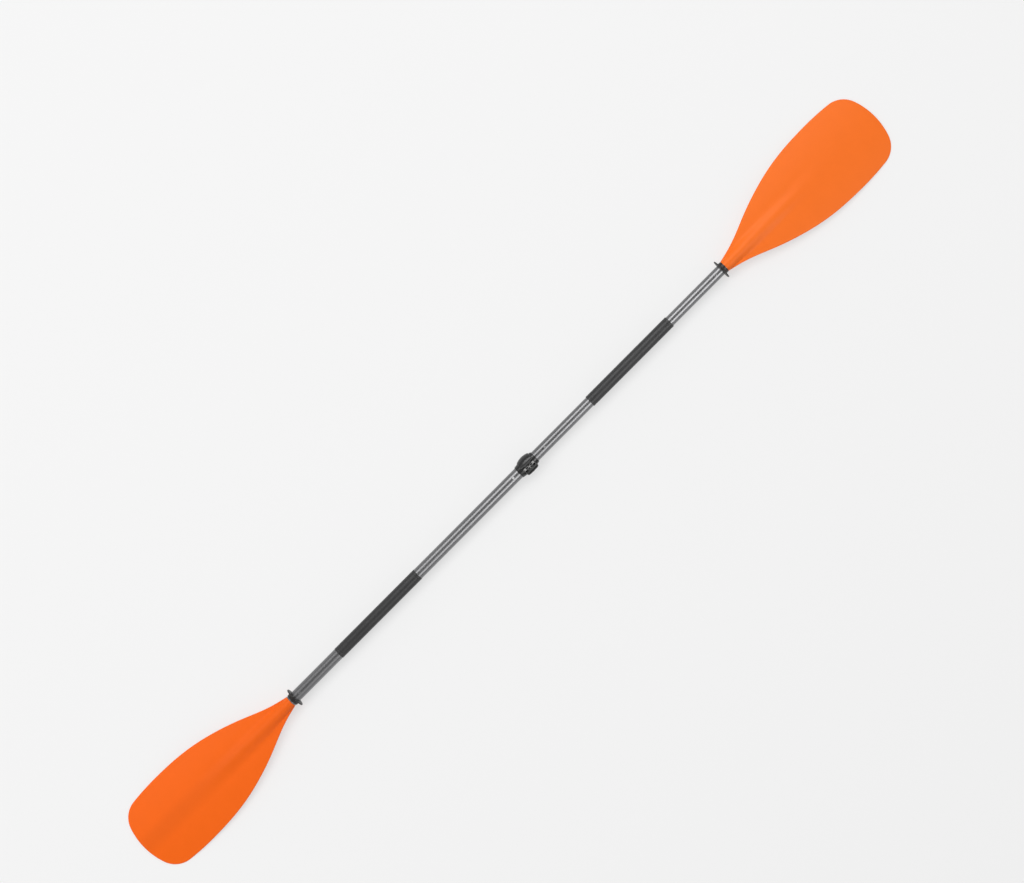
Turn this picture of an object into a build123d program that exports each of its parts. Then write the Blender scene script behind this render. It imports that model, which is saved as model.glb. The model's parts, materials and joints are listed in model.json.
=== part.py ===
from build123d import *
from math import asin, cos, degrees, pi, radians, sin, sqrt
import os

# Two-piece kayak paddle of adjustable length, in millimetres.
# X runs along the shaft, from the outer half's blade (-X) to the inner half's blade (+X).
# Y runs across the blades and Z points up from the flat surface that the paddle lies on,
# power faces down, on the tips of its two blades. The origin is on that surface, under the
# middle of the paddle. The outer half is the wider tube with the clamp, and the inner half
# is the narrower tube that slides and turns in it.

# ---- overall sizes ----
outer_reach = 1218.0             # outer blade's tip to the middle of the clamp
inner_half_length = 1225.5       # inner blade's tip to the end of the plug in its tube
insertion = 132.5                # plug's end past the middle of the clamp, as it is set

# ---- shaft ----
outer_tube_radius = 13.25
tube_wall = 0.8
slide_clearance = 0.1            # inner tube in outer tube, on the radius
glue_line = 0.05                 # between pieces that are glued or pressed together
running_clearance = 0.05         # round a piece that turns or slides on another

# ---- blades ----
blade_length = 472.5             # shoulder at the tube's end to the tip
blade_half_width = 94.3
neck_step = 0.25                 # blade's neck beyond the outer tube, on the radius
tip_bow = 24.0
tip_corner_radius = 68.0
spoon_radius = 4250.0            # bend along the blade
arch_radius = 645.0              # bend across the blade
sheet_middle = 4.2
sheet_edge = 2.6
edge_rounding = 0.6
spine_length = 330.0
spine_fillet = 6.0
spigot_length = 80.0
spigot_wall = 3.5                # the spigot and neck are hollow
spigot_core_length = 105.0

# ---- rivets and foam plugs ----
rivet_setback = 29.0             # rivets to the shoulder
rivet_radius = 2.0
rivet_head_radius = 3.0          # countersunk through the tube's wall, so that the drip rings pass
rivet_length = 9.0
foam_length = 40.0
foam_gap = 5.0

# ---- drip rings ----
ring_radius = 23.5
ring_root_thickness = 4.2
ring_rim_thickness = 2.6
ring_hub_wall = 1.2
ring_hub_length = 7.0
inner_ring_gap = 0.5             # hub to the blade's shoulder
outer_ring_gap = 3.0

# ---- grips ----
grip_length = 250.0
grip_wall = 0.65                 # on the outer tube; both grips are as thick to hold
grip_end_rounding = 0.35
grip_groove_depth = 0.3
grip_groove_width = 1.6
grip_groove_inset = 7.0
outer_grip_setback = 151.5       # blade's shoulder to the grip
inner_grip_setback = 172.5

# ---- plug in the end of the inner tube ----
plug_head_length = 20.0
plug_stem_length = 30.0
plug_dome_length = 9.0

# ---- clamp: collar, seen along the shaft ----
collar_length = 51.0
collar_wall = 3.95
collar_ring_wall = 1.3           # at the end of the closed ring
collar_mouth_wall = 1.6          # at the mouth, round the inner tube
collar_end_taper = 10.0
collar_crown = 1.0               # the barrel falls this much from its middle to the tapers
lip_thickness = 5.0
lip_clearance = 0.2
tube_end_gap = 0.5               # outer tube's end to the lip
flange_length = 9.0              # the closed ring beyond the end of the slit
slit_width = 2.0
slit_end_radius = 1.8
lug_angle = 46.0                 # from straight up, towards -Y
lug_thickness = 5.6
lug_height = 7.7                 # beyond the collar
lug_length = 33.0
lug_rounding = 4.0
lug_end_rounding = 7.0
tube_slot_width = 1.6
tube_slot_length = 34.0
tube_slots = 4

# ---- clamp: screw, barrel, plate and lever ----
screw_lift = 3.1                 # screw's axis beyond the collar
screw_radius = 2.4
screw_head_radius = 3.5
screw_head_length = 2.8
screw_head_recess = 3.2
screw_socket_width = 3.0
screw_socket_depth = 1.8
screw_hole_clearance = 0.3
washer_thickness = 0.8
washer_radius = 3.9
plate_thickness = 0.8
plate_width = 16.0
plate_height = 8.0
barrel_radius = 3.2
barrel_length = 30.0
cam_radius = 5.8
cam_offset = 0.4
cam_gap = 0.1                    # closed cam to the plate
lever_width = 35.0
lever_gap = 0.8                  # lever to the collar
lever_thickness = 3.1
lever_crown = 2.6                # the lever's outer face falls this much to its sides
lever_end_angle = -12.0          # from +Y, below the shaft's axis
lever_tip_radius = 1.6
lever_tip_flare = 0.4            # the round tip stands out of the outer face, for the thumb
lever_root_width = 18.0
lever_notch_edge = 1.5           # side notches reach this far towards +Y
lever_slot_clearance = 0.5
lever_edge_fillet = 1.0
lever_open_angle = 150.0
collar_screw_radius = 1.5
collar_screw_head_radius = 2.8
collar_screw_head_depth = 1.3
collar_screw_sink = 1.6          # head below the barrel's widest round

# ---- worked out from the above ----
overall_length = outer_reach + inner_half_length - insertion
neck_radius = outer_tube_radius + neck_step
grip_radius = outer_tube_radius + grip_wall
outer_bore = outer_tube_radius - tube_wall
inner_tube_radius = outer_bore - slide_clearance
inner_bore = inner_tube_radius - tube_wall
collar_radius = outer_tube_radius + collar_wall
collar_ring_radius = outer_tube_radius + collar_ring_wall
collar_mouth_radius = inner_tube_radius + collar_mouth_wall
lug_top = collar_radius + lug_height
screw_axis_height = collar_radius + screw_lift
collar_screw_reach = collar_radius - collar_screw_sink
outer_shoulder_x = -overall_length / 2 + blade_length
inner_shoulder_x = overall_length / 2 - blade_length
clamp_x = -overall_length / 2 + outer_reach
plug_end_x = overall_length / 2 - inner_half_length
collar_start_x = clamp_x - collar_length / 2
collar_end_x = clamp_x + collar_length / 2
outer_tube_end_x = collar_end_x - lip_thickness - tube_end_gap
inner_tube_end_x = plug_end_x + plug_head_length + running_clearance
slit_start_x = collar_start_x + flange_length
lug_middle_x = (slit_start_x + collar_end_x - lip_thickness) / 2


def sheet_height(along, across):
    """Height of the blade sheet's middle surface: a long bend along it and an arch across it."""
    bent = sqrt((spoon_radius - across**2 / (2 * arch_radius))**2 - along**2)
    return bent - spoon_radius


def make_blade(tube_bore):
    """One blade about its own shoulder: +X to the tip, the shaft's axis at Z = 0, back up."""
    blank_half = blade_half_width + 12
    blank_drop = blank_half**2 / (2 * arch_radius)
    flare = blade_half_width - neck_radius
    with BuildPart() as moulding:
        # the sheet: an arched section carried round the spoon's long radius
        with BuildSketch(Plane.YZ):
            with BuildLine():
                top = ThreePointArc(
                    (-blank_half, sheet_edge / 2 - blank_drop),
                    (0, sheet_middle / 2),
                    (blank_half, sheet_edge / 2 - blank_drop),
                )
                Line(top @ 1, (blank_half, -sheet_edge / 2 - blank_drop))
                under = ThreePointArc(
                    (blank_half, -sheet_edge / 2 - blank_drop),
                    (0, -sheet_middle / 2),
                    (-blank_half, -sheet_edge / 2 - blank_drop),
                )
                Line(under @ 1, top @ 0)
            make_face()
        turn = degrees(asin((blade_length + 10) / spoon_radius))
        revolve(axis=Axis((0, 0, -spoon_radius), (0, 1, 0)), revolution_arc=turn)
        # the outline: a flared neck, widest past the middle, and a squarish bowed tip
        with BuildSketch(Plane.XY) as outline:
            with BuildLine():
                side = Spline(
                    (0, neck_radius),
                    (0.0533 * blade_length, neck_radius + 0.076 * flare),
                    (0.1266 * blade_length, neck_radius + 0.212 * flare),
                    (0.2332 * blade_length, neck_radius + 0.4641 * flare),
                    (0.339 * blade_length, neck_radius + 0.6807 * flare),
                    (0.4449 * blade_length, neck_radius + 0.8453 * flare),
                    (0.5505 * blade_length, neck_radius + 0.948 * flare),
                    (0.692 * blade_length, neck_radius + 0.9975 * flare),
                    (0.7907 * blade_length, neck_radius + 0.9938 * flare),
                    (blade_length - tip_bow, neck_radius + 0.9035 * flare),
                    tangents=[(1, 0.25), (1, -0.15)],
                )
                corner = side @ 1
                ThreePointArc(corner, (blade_length, 0), (corner.X, -corner.Y))
                mirror(side, about=Plane.XZ)
                Line((0, neck_radius), (0, -neck_radius))
            make_face()
            fillet(outline.vertices().group_by(Axis.X)[-1], radius=tip_corner_radius)
        extrude(amount=blade_length, both=True, mode=Mode.INTERSECT)
        # the spine: the round neck runs on along both faces and sinks into the sheet
        steps = 7
        for step in range(steps):
            part_way = step / (steps - 1)
            along = spine_length * part_way
            half_wide = neck_radius * (1 - part_way)**0.75 + 2.0 * part_way
            half_high = neck_radius * (1 - part_way)**1.35 + 1.0 * part_way
            lift = 1.2 * sin(pi * part_way)
            section = Plane((along, 0, sheet_height(along, 0) + lift), x_dir=(0, 1, 0), z_dir=(1, 0, 0))
            with BuildSketch(section):
                Ellipse(half_wide, half_high)
        loft()
        creases = moulding.edges().filter_by(
            lambda e: e.length > 0.75 * spine_length and abs(e.center().Y) < neck_radius
        )
        fillet(creases, radius=spine_fillet)
        rims = moulding.edges().filter_by(
            lambda edge: edge.length > tip_corner_radius / 2 and abs(edge.center().Y) > neck_radius
            or edge.length > tip_corner_radius / 2 and edge.center().X > blade_length - tip_corner_radius
        )
        fillet(rims, radius=edge_rounding)
        # the spigot: a plug that fits the tube's bore, with the two rivet holes across it
        with BuildSketch(Plane.YZ):
            Circle(tube_bore - glue_line)
        extrude(amount=-spigot_length)
        with BuildSketch(Plane.YZ.offset(-spigot_length)):
            Circle(tube_bore - spigot_wall)
        extrude(amount=spigot_core_length, mode=Mode.SUBTRACT)
        with BuildSketch(Plane.XY.offset(neck_radius)):
            with Locations((-rivet_setback, 0)):
                Circle(rivet_radius + glue_line)
        extrude(amount=-2 * neck_radius, mode=Mode.SUBTRACT)
    return moulding.part


# ---- both blades; the paddle lies on their tips, so they set the shaft's height ----
outer_form = make_blade(outer_bore)
inner_form = make_blade(inner_bore)
shaft_z = -outer_form.bounding_box().min.Z
shaft_axis = Axis((0, 0, shaft_z), (1, 0, 0))
along_shaft = Plane((0, 0, shaft_z), x_dir=(1, 0, 0), z_dir=(0, -1, 0))


def across(x, turn=0.0):
    """Plane across the shaft at x: its own x points to +Y and its own y up, turned about the shaft."""
    return Plane((x, 0, shaft_z), x_dir=(0, cos(radians(turn)), sin(radians(turn))), z_dir=(1, 0, 0))


def out_of(turn):
    """Direction out from the shaft's axis, turned from straight up towards -Y."""
    return Vector(0, -sin(radians(turn)), cos(radians(turn)))


def round_from(x, distance):
    """Plane square to the tension screw, at a distance from the slit towards the lever."""
    turned = across(x, lug_angle)
    centre = turned.from_local_coords((distance, screw_axis_height, 0))
    return Plane(centre, x_dir=(1, 0, 0), z_dir=turned.x_dir)


def make_rivets(x, tube_radius, room=0.0):
    """Two countersunk rivets, from above and below, flush with the tube; room widens them into holes."""
    with BuildPart() as pair:
        with BuildSketch(Plane((x, 0, shaft_z), x_dir=(1, 0, 0), z_dir=(0, -1, 0))):
            with BuildLine():
                Polyline(
                    (0, tube_radius),
                    (rivet_head_radius + room, tube_radius),
                    (rivet_radius + room, tube_radius - tube_wall),
                    (rivet_radius + room, tube_radius - rivet_length),
                    (0, tube_radius - rivet_length),
                    close=True,
                )
            make_face()
        revolve(axis=Axis((x, 0, 0), (0, 0, 1)))
        mirror(about=Plane.XY.offset(shaft_z))
        with BuildSketch(across(x - 2 * rivet_head_radius)):
            Circle(tube_radius)
        extrude(amount=4 * rivet_head_radius, mode=Mode.INTERSECT)
    return pair.part


with BuildPart() as outer_blade:
    with Locations(Location((outer_shoulder_x, 0, shaft_z), (0, 0, 180))):
        add(outer_form)
outer_blade.part.label = "outer_blade"

with BuildPart() as inner_blade:
    with Locations(Location((inner_shoulder_x, 0, shaft_z))):
        add(inner_form)
inner_blade.part.label = "inner_blade"

# ---- tubes ----
with BuildPart() as outer_tube:
    with BuildSketch(across(outer_shoulder_x)):
        Circle(outer_tube_radius)
        Circle(outer_bore, mode=Mode.SUBTRACT)
    extrude(amount=outer_tube_end_x - outer_shoulder_x)
    # relief slots that let the collar squeeze the tube's end
    for slot in range(tube_slots):
        with BuildSketch(across(outer_tube_end_x, lug_angle + slot * 360 / tube_slots)):
            with Locations((0, outer_tube_radius)):
                Rectangle(tube_slot_width, 2 * outer_tube_radius)
        extrude(amount=-tube_slot_length, mode=Mode.SUBTRACT)
    add(make_rivets(outer_shoulder_x + rivet_setback, outer_tube_radius, glue_line), mode=Mode.SUBTRACT)
    with BuildSketch(Plane.XY.offset(shaft_z)):
        with Locations((collar_start_x + flange_length / 2, 0)):
            Circle(collar_screw_radius + glue_line)
    extrude(amount=-2 * outer_tube_radius, mode=Mode.SUBTRACT)
outer_tube.part.label = "outer_tube"

with BuildPart() as inner_tube:
    with BuildSketch(across(inner_tube_end_x)):
        Circle(inner_tube_radius)
        Circle(inner_bore, mode=Mode.SUBTRACT)
    extrude(amount=inner_shoulder_x - inner_tube_end_x)
    add(make_rivets(inner_shoulder_x - rivet_setback, inner_tube_radius, glue_line), mode=Mode.SUBTRACT)
inner_tube.part.label = "inner_tube"

# ---- round plug in the inner tube's end: a domed head and a stem ----
with BuildPart() as inner_end_plug:
    with BuildSketch(along_shaft):
        with BuildLine():
            dome_end_x = plug_end_x + plug_dome_length
            dome = TangentArc((plug_end_x, 0), (dome_end_x, inner_tube_radius), tangent=(0, 1))
            side = Line(dome @ 1, (plug_end_x + plug_head_length, inner_tube_radius))
            seat = Line(side @ 1, (plug_end_x + plug_head_length, 0))
            Line(seat @ 1, dome @ 0)
        make_face()
        stem_middle = plug_end_x + plug_head_length + plug_stem_length / 2
        stem_radius = inner_bore - running_clearance
        with Locations((stem_middle, stem_radius / 2)):
            Rectangle(plug_stem_length, stem_radius)
    revolve(axis=shaft_axis)
inner_end_plug.part.label = "inner_end_plug"


def make_grip(start_x, tube_radius):
    """A rubber sleeve on the tube, with rounded ends and a shallow groove near each."""
    with BuildPart() as sleeve:
        with BuildSketch(along_shaft) as wall:
            with Locations((start_x + grip_length / 2, (grip_radius + tube_radius + glue_line) / 2)):
                Rectangle(grip_length, grip_radius - tube_radius - glue_line)
            fillet(wall.vertices().group_by(Axis.Y)[-1], radius=grip_end_rounding)
            for end_x in (start_x + grip_groove_inset, start_x + grip_length - grip_groove_inset):
                with Locations((end_x, grip_radius)):
                    Rectangle(grip_groove_width, 2 * grip_groove_depth, mode=Mode.SUBTRACT)
        revolve(axis=shaft_axis)
    return sleeve.part


outer_grip = make_grip(outer_shoulder_x + outer_grip_setback, outer_tube_radius)
outer_grip.label = "outer_grip"
inner_grip = make_grip(inner_shoulder_x - inner_grip_setback - grip_length, inner_tube_radius)
inner_grip.label = "inner_grip"


def make_drip_ring(shoulder_x, tube_radius, gap, outward):
    """A rubber disc on a short hub; outward is the way to the blade, -1 or 1."""
    hub_radius = tube_radius + running_clearance + ring_hub_wall
    disc_x = shoulder_x - outward * (gap + ring_hub_length + ring_root_thickness / 2)
    root, rim = ring_root_thickness / 2, ring_rim_thickness / 2
    with BuildPart() as ring:
        with BuildSketch(along_shaft) as section:
            with BuildLine():
                Polyline(
                    (disc_x - outward * root, tube_radius + running_clearance),
                    (disc_x - outward * root, hub_radius + 0.6),
                    (disc_x - outward * rim, ring_radius),
                    (disc_x + outward * rim, ring_radius),
                    (disc_x + outward * root, hub_radius + 0.6),
                    (shoulder_x - outward * gap, hub_radius),
                    (shoulder_x - outward * gap, tube_radius + running_clearance),
                    close=True,
                )
            make_face()
            fillet(section.vertices().group_by(Axis.Y)[-1], radius=0.8 * rim)
            hub_end = section.vertices().filter_by_position(Axis.Y, hub_radius - 0.1, hub_radius + 0.1)
            fillet(hub_end, radius=0.4 * ring_hub_wall)
        revolve(axis=shaft_axis)
    return ring.part


outer_drip_ring = make_drip_ring(outer_shoulder_x, outer_tube_radius, outer_ring_gap, -1)
outer_drip_ring.label = "outer_drip_ring"
inner_drip_ring = make_drip_ring(inner_shoulder_x, inner_tube_radius, inner_ring_gap, 1)
inner_drip_ring.label = "inner_drip_ring"


outer_rivets = make_rivets(outer_shoulder_x + rivet_setback, outer_tube_radius)
outer_rivets.label = "outer_rivets"
inner_rivets = make_rivets(inner_shoulder_x - rivet_setback, inner_tube_radius)
inner_rivets.label = "inner_rivets"

# ---- foam plugs that keep water out of the tubes ----
with BuildPart() as outer_foam_plug:
    with BuildSketch(across(outer_shoulder_x + spigot_length + foam_gap)):
        Circle(outer_bore - glue_line)
    extrude(amount=foam_length)
outer_foam_plug.part.label = "outer_foam_plug"

with BuildPart() as inner_foam_plug:
    with BuildSketch(across(inner_shoulder_x - spigot_length - foam_gap)):
        Circle(inner_bore - glue_line)
    extrude(amount=-foam_length)
inner_foam_plug.part.label = "inner_foam_plug"

# ---- clamp collar: a barrel round the outer tube's end, split along one side between two lugs ----
# In a plane across the shaft that is turned by the lug angle, the lugs' own x runs round the
# collar (towards the lever) and their own y runs out from the shaft.
def make_barrel(raised=0.0):
    """The collar's barrel form, or the room that it needs under the lever when it is raised."""
    with BuildPart() as barrel:
        with BuildSketch(along_shaft):
            with BuildLine():
                top = (clamp_x, collar_radius + raised)
                shoulder = collar_length / 2 - collar_end_taper
                shoulder_radius = collar_radius - collar_crown + raised
                near = TangentArc(top, (clamp_x - shoulder, shoulder_radius), tangent=(-1, 0))
                near_end = (collar_start_x, collar_ring_radius + raised)
                TangentArc(near @ 1, near_end, tangent=near % 1)
                far = TangentArc(top, (clamp_x + shoulder, shoulder_radius), tangent=(1, 0))
                far_end = (collar_end_x, collar_mouth_radius + raised)
                TangentArc(far @ 1, far_end, tangent=far % 1)
                Polyline(near_end, (collar_start_x, 0), (collar_end_x, 0), far_end)
            make_face()
        revolve(axis=shaft_axis)
    return barrel.part


with BuildPart() as lugs:
    with BuildSketch(across(lug_middle_x - lug_length / 2, lug_angle)) as lug_ends:
        with Locations((0, (collar_radius / 2 + lug_top) / 2)):
            Rectangle(slit_width + 2 * lug_thickness, lug_top - collar_radius / 2)
        fillet(lug_ends.vertices().group_by(Axis.Y)[-1], radius=lug_rounding)
    extrude(amount=lug_length)
    # seen from the side, the lugs' outer corners are round
    with BuildSketch(round_from(lug_middle_x, 0)) as lug_side:
        with Locations((0, screw_axis_height - lug_top / 2)):
            Rectangle(lug_length, lug_top)
        fillet(lug_side.vertices().group_by(Axis.Y)[0], radius=lug_end_rounding)
    extrude(amount=slit_width + 2 * lug_thickness, both=True, mode=Mode.INTERSECT)

with BuildPart() as clamp_collar:
    add(make_barrel())
    add(lugs.part)
    # the bore: the outer tube's seat, then the lip that the inner tube passes
    with BuildSketch(across(collar_start_x)):
        Circle(outer_tube_radius + glue_line)
    extrude(amount=outer_tube_end_x + tube_end_gap - collar_start_x, mode=Mode.SUBTRACT)
    with BuildSketch(across(collar_start_x)):
        Circle(inner_tube_radius + lip_clearance)
    extrude(amount=collar_length, mode=Mode.SUBTRACT)
    # the slit, with a round end that keeps it from tearing
    with BuildSketch(across(collar_end_x, lug_angle)):
        with Locations((0, lug_top)):
            Rectangle(slit_width, 2 * lug_top)
    extrude(amount=slit_start_x - collar_end_x, mode=Mode.SUBTRACT)
    slit_end = Plane(across(slit_start_x, lug_angle).from_local_coords((0, 0, 0)), z_dir=out_of(lug_angle))
    with BuildSketch(slit_end):
        Circle(slit_end_radius)
    extrude(amount=lug_top, mode=Mode.SUBTRACT)
    # the screw's hole through both lugs and the recess for its head
    with BuildSketch(round_from(lug_middle_x, 0)):
        Circle(screw_radius + screw_hole_clearance)
    extrude(amount=2 * lug_thickness, both=True, mode=Mode.SUBTRACT)
    far_face = slit_width / 2 + lug_thickness
    with BuildSketch(round_from(lug_middle_x, -far_face)):
        Circle(washer_radius + screw_hole_clearance)
    extrude(amount=screw_head_recess, mode=Mode.SUBTRACT)
    # the small screw that holds the closed ring to the tube, from below
    with BuildSketch(Plane.XY.offset(shaft_z)):
        with Locations((collar_start_x + flange_length / 2, 0)):
            Circle(collar_screw_radius + glue_line)
    extrude(amount=-2 * collar_radius, mode=Mode.SUBTRACT)
    with BuildSketch(Plane.XY.offset(shaft_z - collar_screw_reach + collar_screw_head_depth)):
        with Locations((collar_start_x + flange_length / 2, 0)):
            Circle(collar_screw_head_radius + 2 * glue_line)
    extrude(amount=-2 * collar_screw_head_depth, mode=Mode.SUBTRACT)
clamp_collar.part.label = "clamp_collar"

# ---- small screw of the closed ring ----
with BuildPart() as collar_screw:
    head_seat = shaft_z - collar_screw_reach + collar_screw_head_depth
    with BuildSketch(Plane.XY.offset(head_seat)):
        with Locations((collar_start_x + flange_length / 2, 0)):
            Circle(collar_screw_head_radius)
    extrude(amount=-collar_screw_head_depth)
    fillet(collar_screw.edges().group_by(Axis.Z)[0], radius=collar_screw_head_depth / 2)
    with BuildSketch(Plane.XY.offset(head_seat)):
        with Locations((collar_start_x + flange_length / 2, 0)):
            Circle(collar_screw_radius)
    extrude(amount=shaft_z - outer_bore - glue_line - head_seat)
    with BuildSketch(Plane.XY.offset(shaft_z - collar_screw_reach)):
        with Locations((collar_start_x + flange_length / 2, 0)):
            Rectangle(0.5 * collar_screw_head_radius, 0.16 * collar_screw_head_radius)
            Rectangle(0.16 * collar_screw_head_radius, 0.5 * collar_screw_head_radius)
    extrude(amount=collar_screw_head_depth / 2, mode=Mode.SUBTRACT)
collar_screw.part.label = "collar_screw"

# ---- tension screw: head in the far lug, shank through both lugs into the barrel ----
plate_face = far_face + glue_line + plate_thickness
barrel_round = plate_face + cam_gap + cam_radius + cam_offset
with BuildPart() as clamp_screw:
    head_face = -far_face + screw_head_recess - washer_thickness - glue_line
    with BuildSketch(round_from(lug_middle_x, head_face)):
        Circle(screw_head_radius)
    extrude(amount=-screw_head_length)
    screw_line = Axis((0, 0, 0), across(0, lug_angle).x_dir)
    fillet(clamp_screw.edges().sort_by(screw_line)[0], radius=0.6)
    with BuildSketch(round_from(lug_middle_x, head_face)):
        Circle(screw_radius)
    extrude(amount=barrel_round + 0.7 * barrel_radius - head_face)
    with BuildSketch(round_from(lug_middle_x, head_face - screw_head_length)):
        RegularPolygon(screw_socket_width / 2, 6, major_radius=False)
    extrude(amount=screw_socket_depth, mode=Mode.SUBTRACT)
clamp_screw.part.label = "clamp_screw"

with BuildPart() as screw_washer:
    with BuildSketch(round_from(lug_middle_x, -far_face + screw_head_recess)):
        Circle(washer_radius)
        Circle(screw_radius + screw_hole_clearance, mode=Mode.SUBTRACT)
    extrude(amount=-washer_thickness)
screw_washer.part.label = "screw_washer"

with BuildPart() as cam_plate:
    with BuildSketch(round_from(lug_middle_x, far_face + glue_line)):
        RectangleRounded(plate_width, plate_height, plate_height / 8)
        Circle(screw_radius + screw_hole_clearance, mode=Mode.SUBTRACT)
    extrude(amount=plate_thickness)
cam_plate.part.label = "cam_plate"

# ---- cross barrel that the screw is threaded into and the lever turns on ----
with BuildPart() as lever_barrel:
    with BuildSketch(across(lug_middle_x - barrel_length / 2, lug_angle)):
        with Locations((barrel_round, screw_axis_height)):
            Circle(barrel_radius)
    extrude(amount=barrel_length)
    chamfer(lever_barrel.edges().filter_by(GeomType.CIRCLE), length=0.5)
    with BuildSketch(round_from(lug_middle_x, 0)):
        Circle(screw_radius + glue_line)
    extrude(amount=barrel_round + 0.7 * barrel_radius + glue_line, mode=Mode.SUBTRACT)
lever_barrel.part.label = "lever_barrel"

# ---- cam lever: the hull of the cam and the lever's outer arc, less the collar's round ----
lever_inner = collar_radius + lever_gap
lever_outer = lever_inner + lever_thickness
pivot = across(0, lug_angle).from_local_coords((barrel_round, screw_axis_height, 0))
pivot_y, pivot_z = pivot.Y, pivot.Z - shaft_z
cam_y = pivot_y - cam_offset * cos(radians(lug_angle))
cam_z = pivot_z - cam_offset * sin(radians(lug_angle))
lever_start_x = lug_middle_x - lever_width / 2
shaft_line = Edge.make_line((collar_start_x, 0, shaft_z), (collar_end_x, 0, shaft_z))
lever_sections = (
    (lever_start_x, lever_crown), (lug_middle_x, 0.0), (lever_start_x + lever_width, lever_crown),
)
with BuildPart() as clamp_lever:
    for section_x, fall in lever_sections:
        with BuildSketch(across(section_x)):
            with BuildLine():
                CenterArc((0, 0), lever_outer - fall, lever_end_angle, 100)
                tip_reach = lever_outer - fall + lever_tip_flare - lever_tip_radius
                tip_turn = radians(lever_end_angle)
                tip = (tip_reach * cos(tip_turn), tip_reach * sin(tip_turn))
                CenterArc(tip, lever_tip_radius, 0, 360)
                CenterArc((cam_y, cam_z), cam_radius, 0, 360)
            make_hull()
    loft()
    # round the outer rims of the two side faces
    rims = clamp_lever.faces().filter_by(Axis.X).edges()
    outer_rims = rims.filter_by(lambda edge: edge.distance_to(shaft_line) > collar_radius)
    fillet(outer_rims, radius=lever_edge_fillet)
    add(make_barrel(raised=lever_gap), mode=Mode.SUBTRACT)
    # the root is narrow: notches beside it leave the barrel's ends and the collar open to view
    for side in (-1, 1):
        notch_start = across(lug_middle_x + side * lever_root_width / 2)
        with BuildSketch(notch_start) as notch:
            with Locations((lever_notch_edge - lug_top, lug_top)):
                Rectangle(2 * lug_top, 2 * lug_top)
            fillet(notch.vertices().group_by(Axis.X)[-1], radius=lever_edge_fillet)
        extrude(amount=side * lever_width, mode=Mode.SUBTRACT)
    # the barrel's bore, and a slot that passes the screw while the lever swings
    with BuildSketch(across(lever_start_x)):
        with Locations((pivot_y, pivot_z)):
            Circle(barrel_radius + running_clearance)
    extrude(amount=lever_width, mode=Mode.SUBTRACT)
    slot_half = screw_radius + lever_slot_clearance
    slot_turn = lug_angle - lever_open_angle / 2
    with BuildSketch(across(lug_middle_x - slot_half, 0)):
        with Locations(Location((pivot_y, pivot_z, 0), slot_turn)):
            with Locations((slot_half - lug_top, 0)):
                Rectangle(2 * lug_top, 4 * lug_top)
    extrude(amount=2 * slot_half, mode=Mode.SUBTRACT)
clamp_lever.part.label = "clamp_lever"

# ---- one STEP file per piece ----
os.makedirs("parts", exist_ok=True)
pieces = (
    outer_blade.part, outer_tube.part, outer_grip, outer_drip_ring, outer_rivets, outer_foam_plug.part,
    inner_blade.part, inner_tube.part, inner_grip, inner_drip_ring, inner_rivets, inner_foam_plug.part,
    inner_end_plug.part, clamp_collar.part, collar_screw.part, clamp_screw.part, screw_washer.part,
    cam_plate.part, lever_barrel.part, clamp_lever.part,
)
for piece in pieces:
    export_step(piece, f"parts/{piece.label}.step")
print("shaft height", round(shaft_z, 3), "pivot", round(pivot_y, 3), round(pivot_z + shaft_z, 3))
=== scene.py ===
import json
from functools import wraps
from math import atan2, cos, pi, radians, sin, sqrt

import bmesh
import bpy
import numpy as np
from bpy.props import FloatProperty, FloatVectorProperty, PointerProperty
from bpy.types import Operator, Panel, PropertyGroup
from mathutils import Matrix, Vector


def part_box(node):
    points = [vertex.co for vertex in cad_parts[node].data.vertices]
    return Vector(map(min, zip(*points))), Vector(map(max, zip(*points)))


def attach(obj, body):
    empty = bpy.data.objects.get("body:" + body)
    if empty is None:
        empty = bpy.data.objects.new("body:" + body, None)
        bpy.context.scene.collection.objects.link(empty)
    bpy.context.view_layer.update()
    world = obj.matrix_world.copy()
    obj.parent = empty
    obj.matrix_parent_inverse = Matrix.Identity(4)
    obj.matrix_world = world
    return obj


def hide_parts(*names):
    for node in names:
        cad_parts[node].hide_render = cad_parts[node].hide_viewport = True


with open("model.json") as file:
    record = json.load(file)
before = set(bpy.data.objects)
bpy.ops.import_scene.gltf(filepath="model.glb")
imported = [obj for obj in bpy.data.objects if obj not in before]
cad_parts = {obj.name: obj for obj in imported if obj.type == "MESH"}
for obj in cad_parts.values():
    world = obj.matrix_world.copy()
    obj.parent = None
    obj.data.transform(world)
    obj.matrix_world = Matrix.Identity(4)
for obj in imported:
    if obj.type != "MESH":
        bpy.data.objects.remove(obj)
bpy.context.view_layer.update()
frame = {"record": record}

bl_info = {
    "name": "Kayak Paddle",
    "version": (1, 0, 0),
    "blender": (4, 5, 0),
    "location": "View3D > Sidebar > Paddle",
    "description": "Surfaces, materials and a plain stage for a two-piece kayak paddle",
    "category": "Mesh",
}

MM = 0.001


# ---------------------------------------------------------------- places read from the frame

def ends(node):
    """Least and greatest x of a frame node."""
    low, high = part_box(node)
    return low.x, high.x


def height(node):
    """Least and greatest z of a frame node."""
    low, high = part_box(node)
    return low.z, high.z


def round_radius(node):
    """Radius of a node that is round about the shaft, from its width."""
    low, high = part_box(node)
    return (high.y - low.y) / 2


def joint_place(name):
    """A joint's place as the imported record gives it."""
    joints = frame["record"]["behaviour"]["joints"]
    return Vector(next(joint["pos_m"] for joint in joints if joint["name"] == name))


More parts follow.
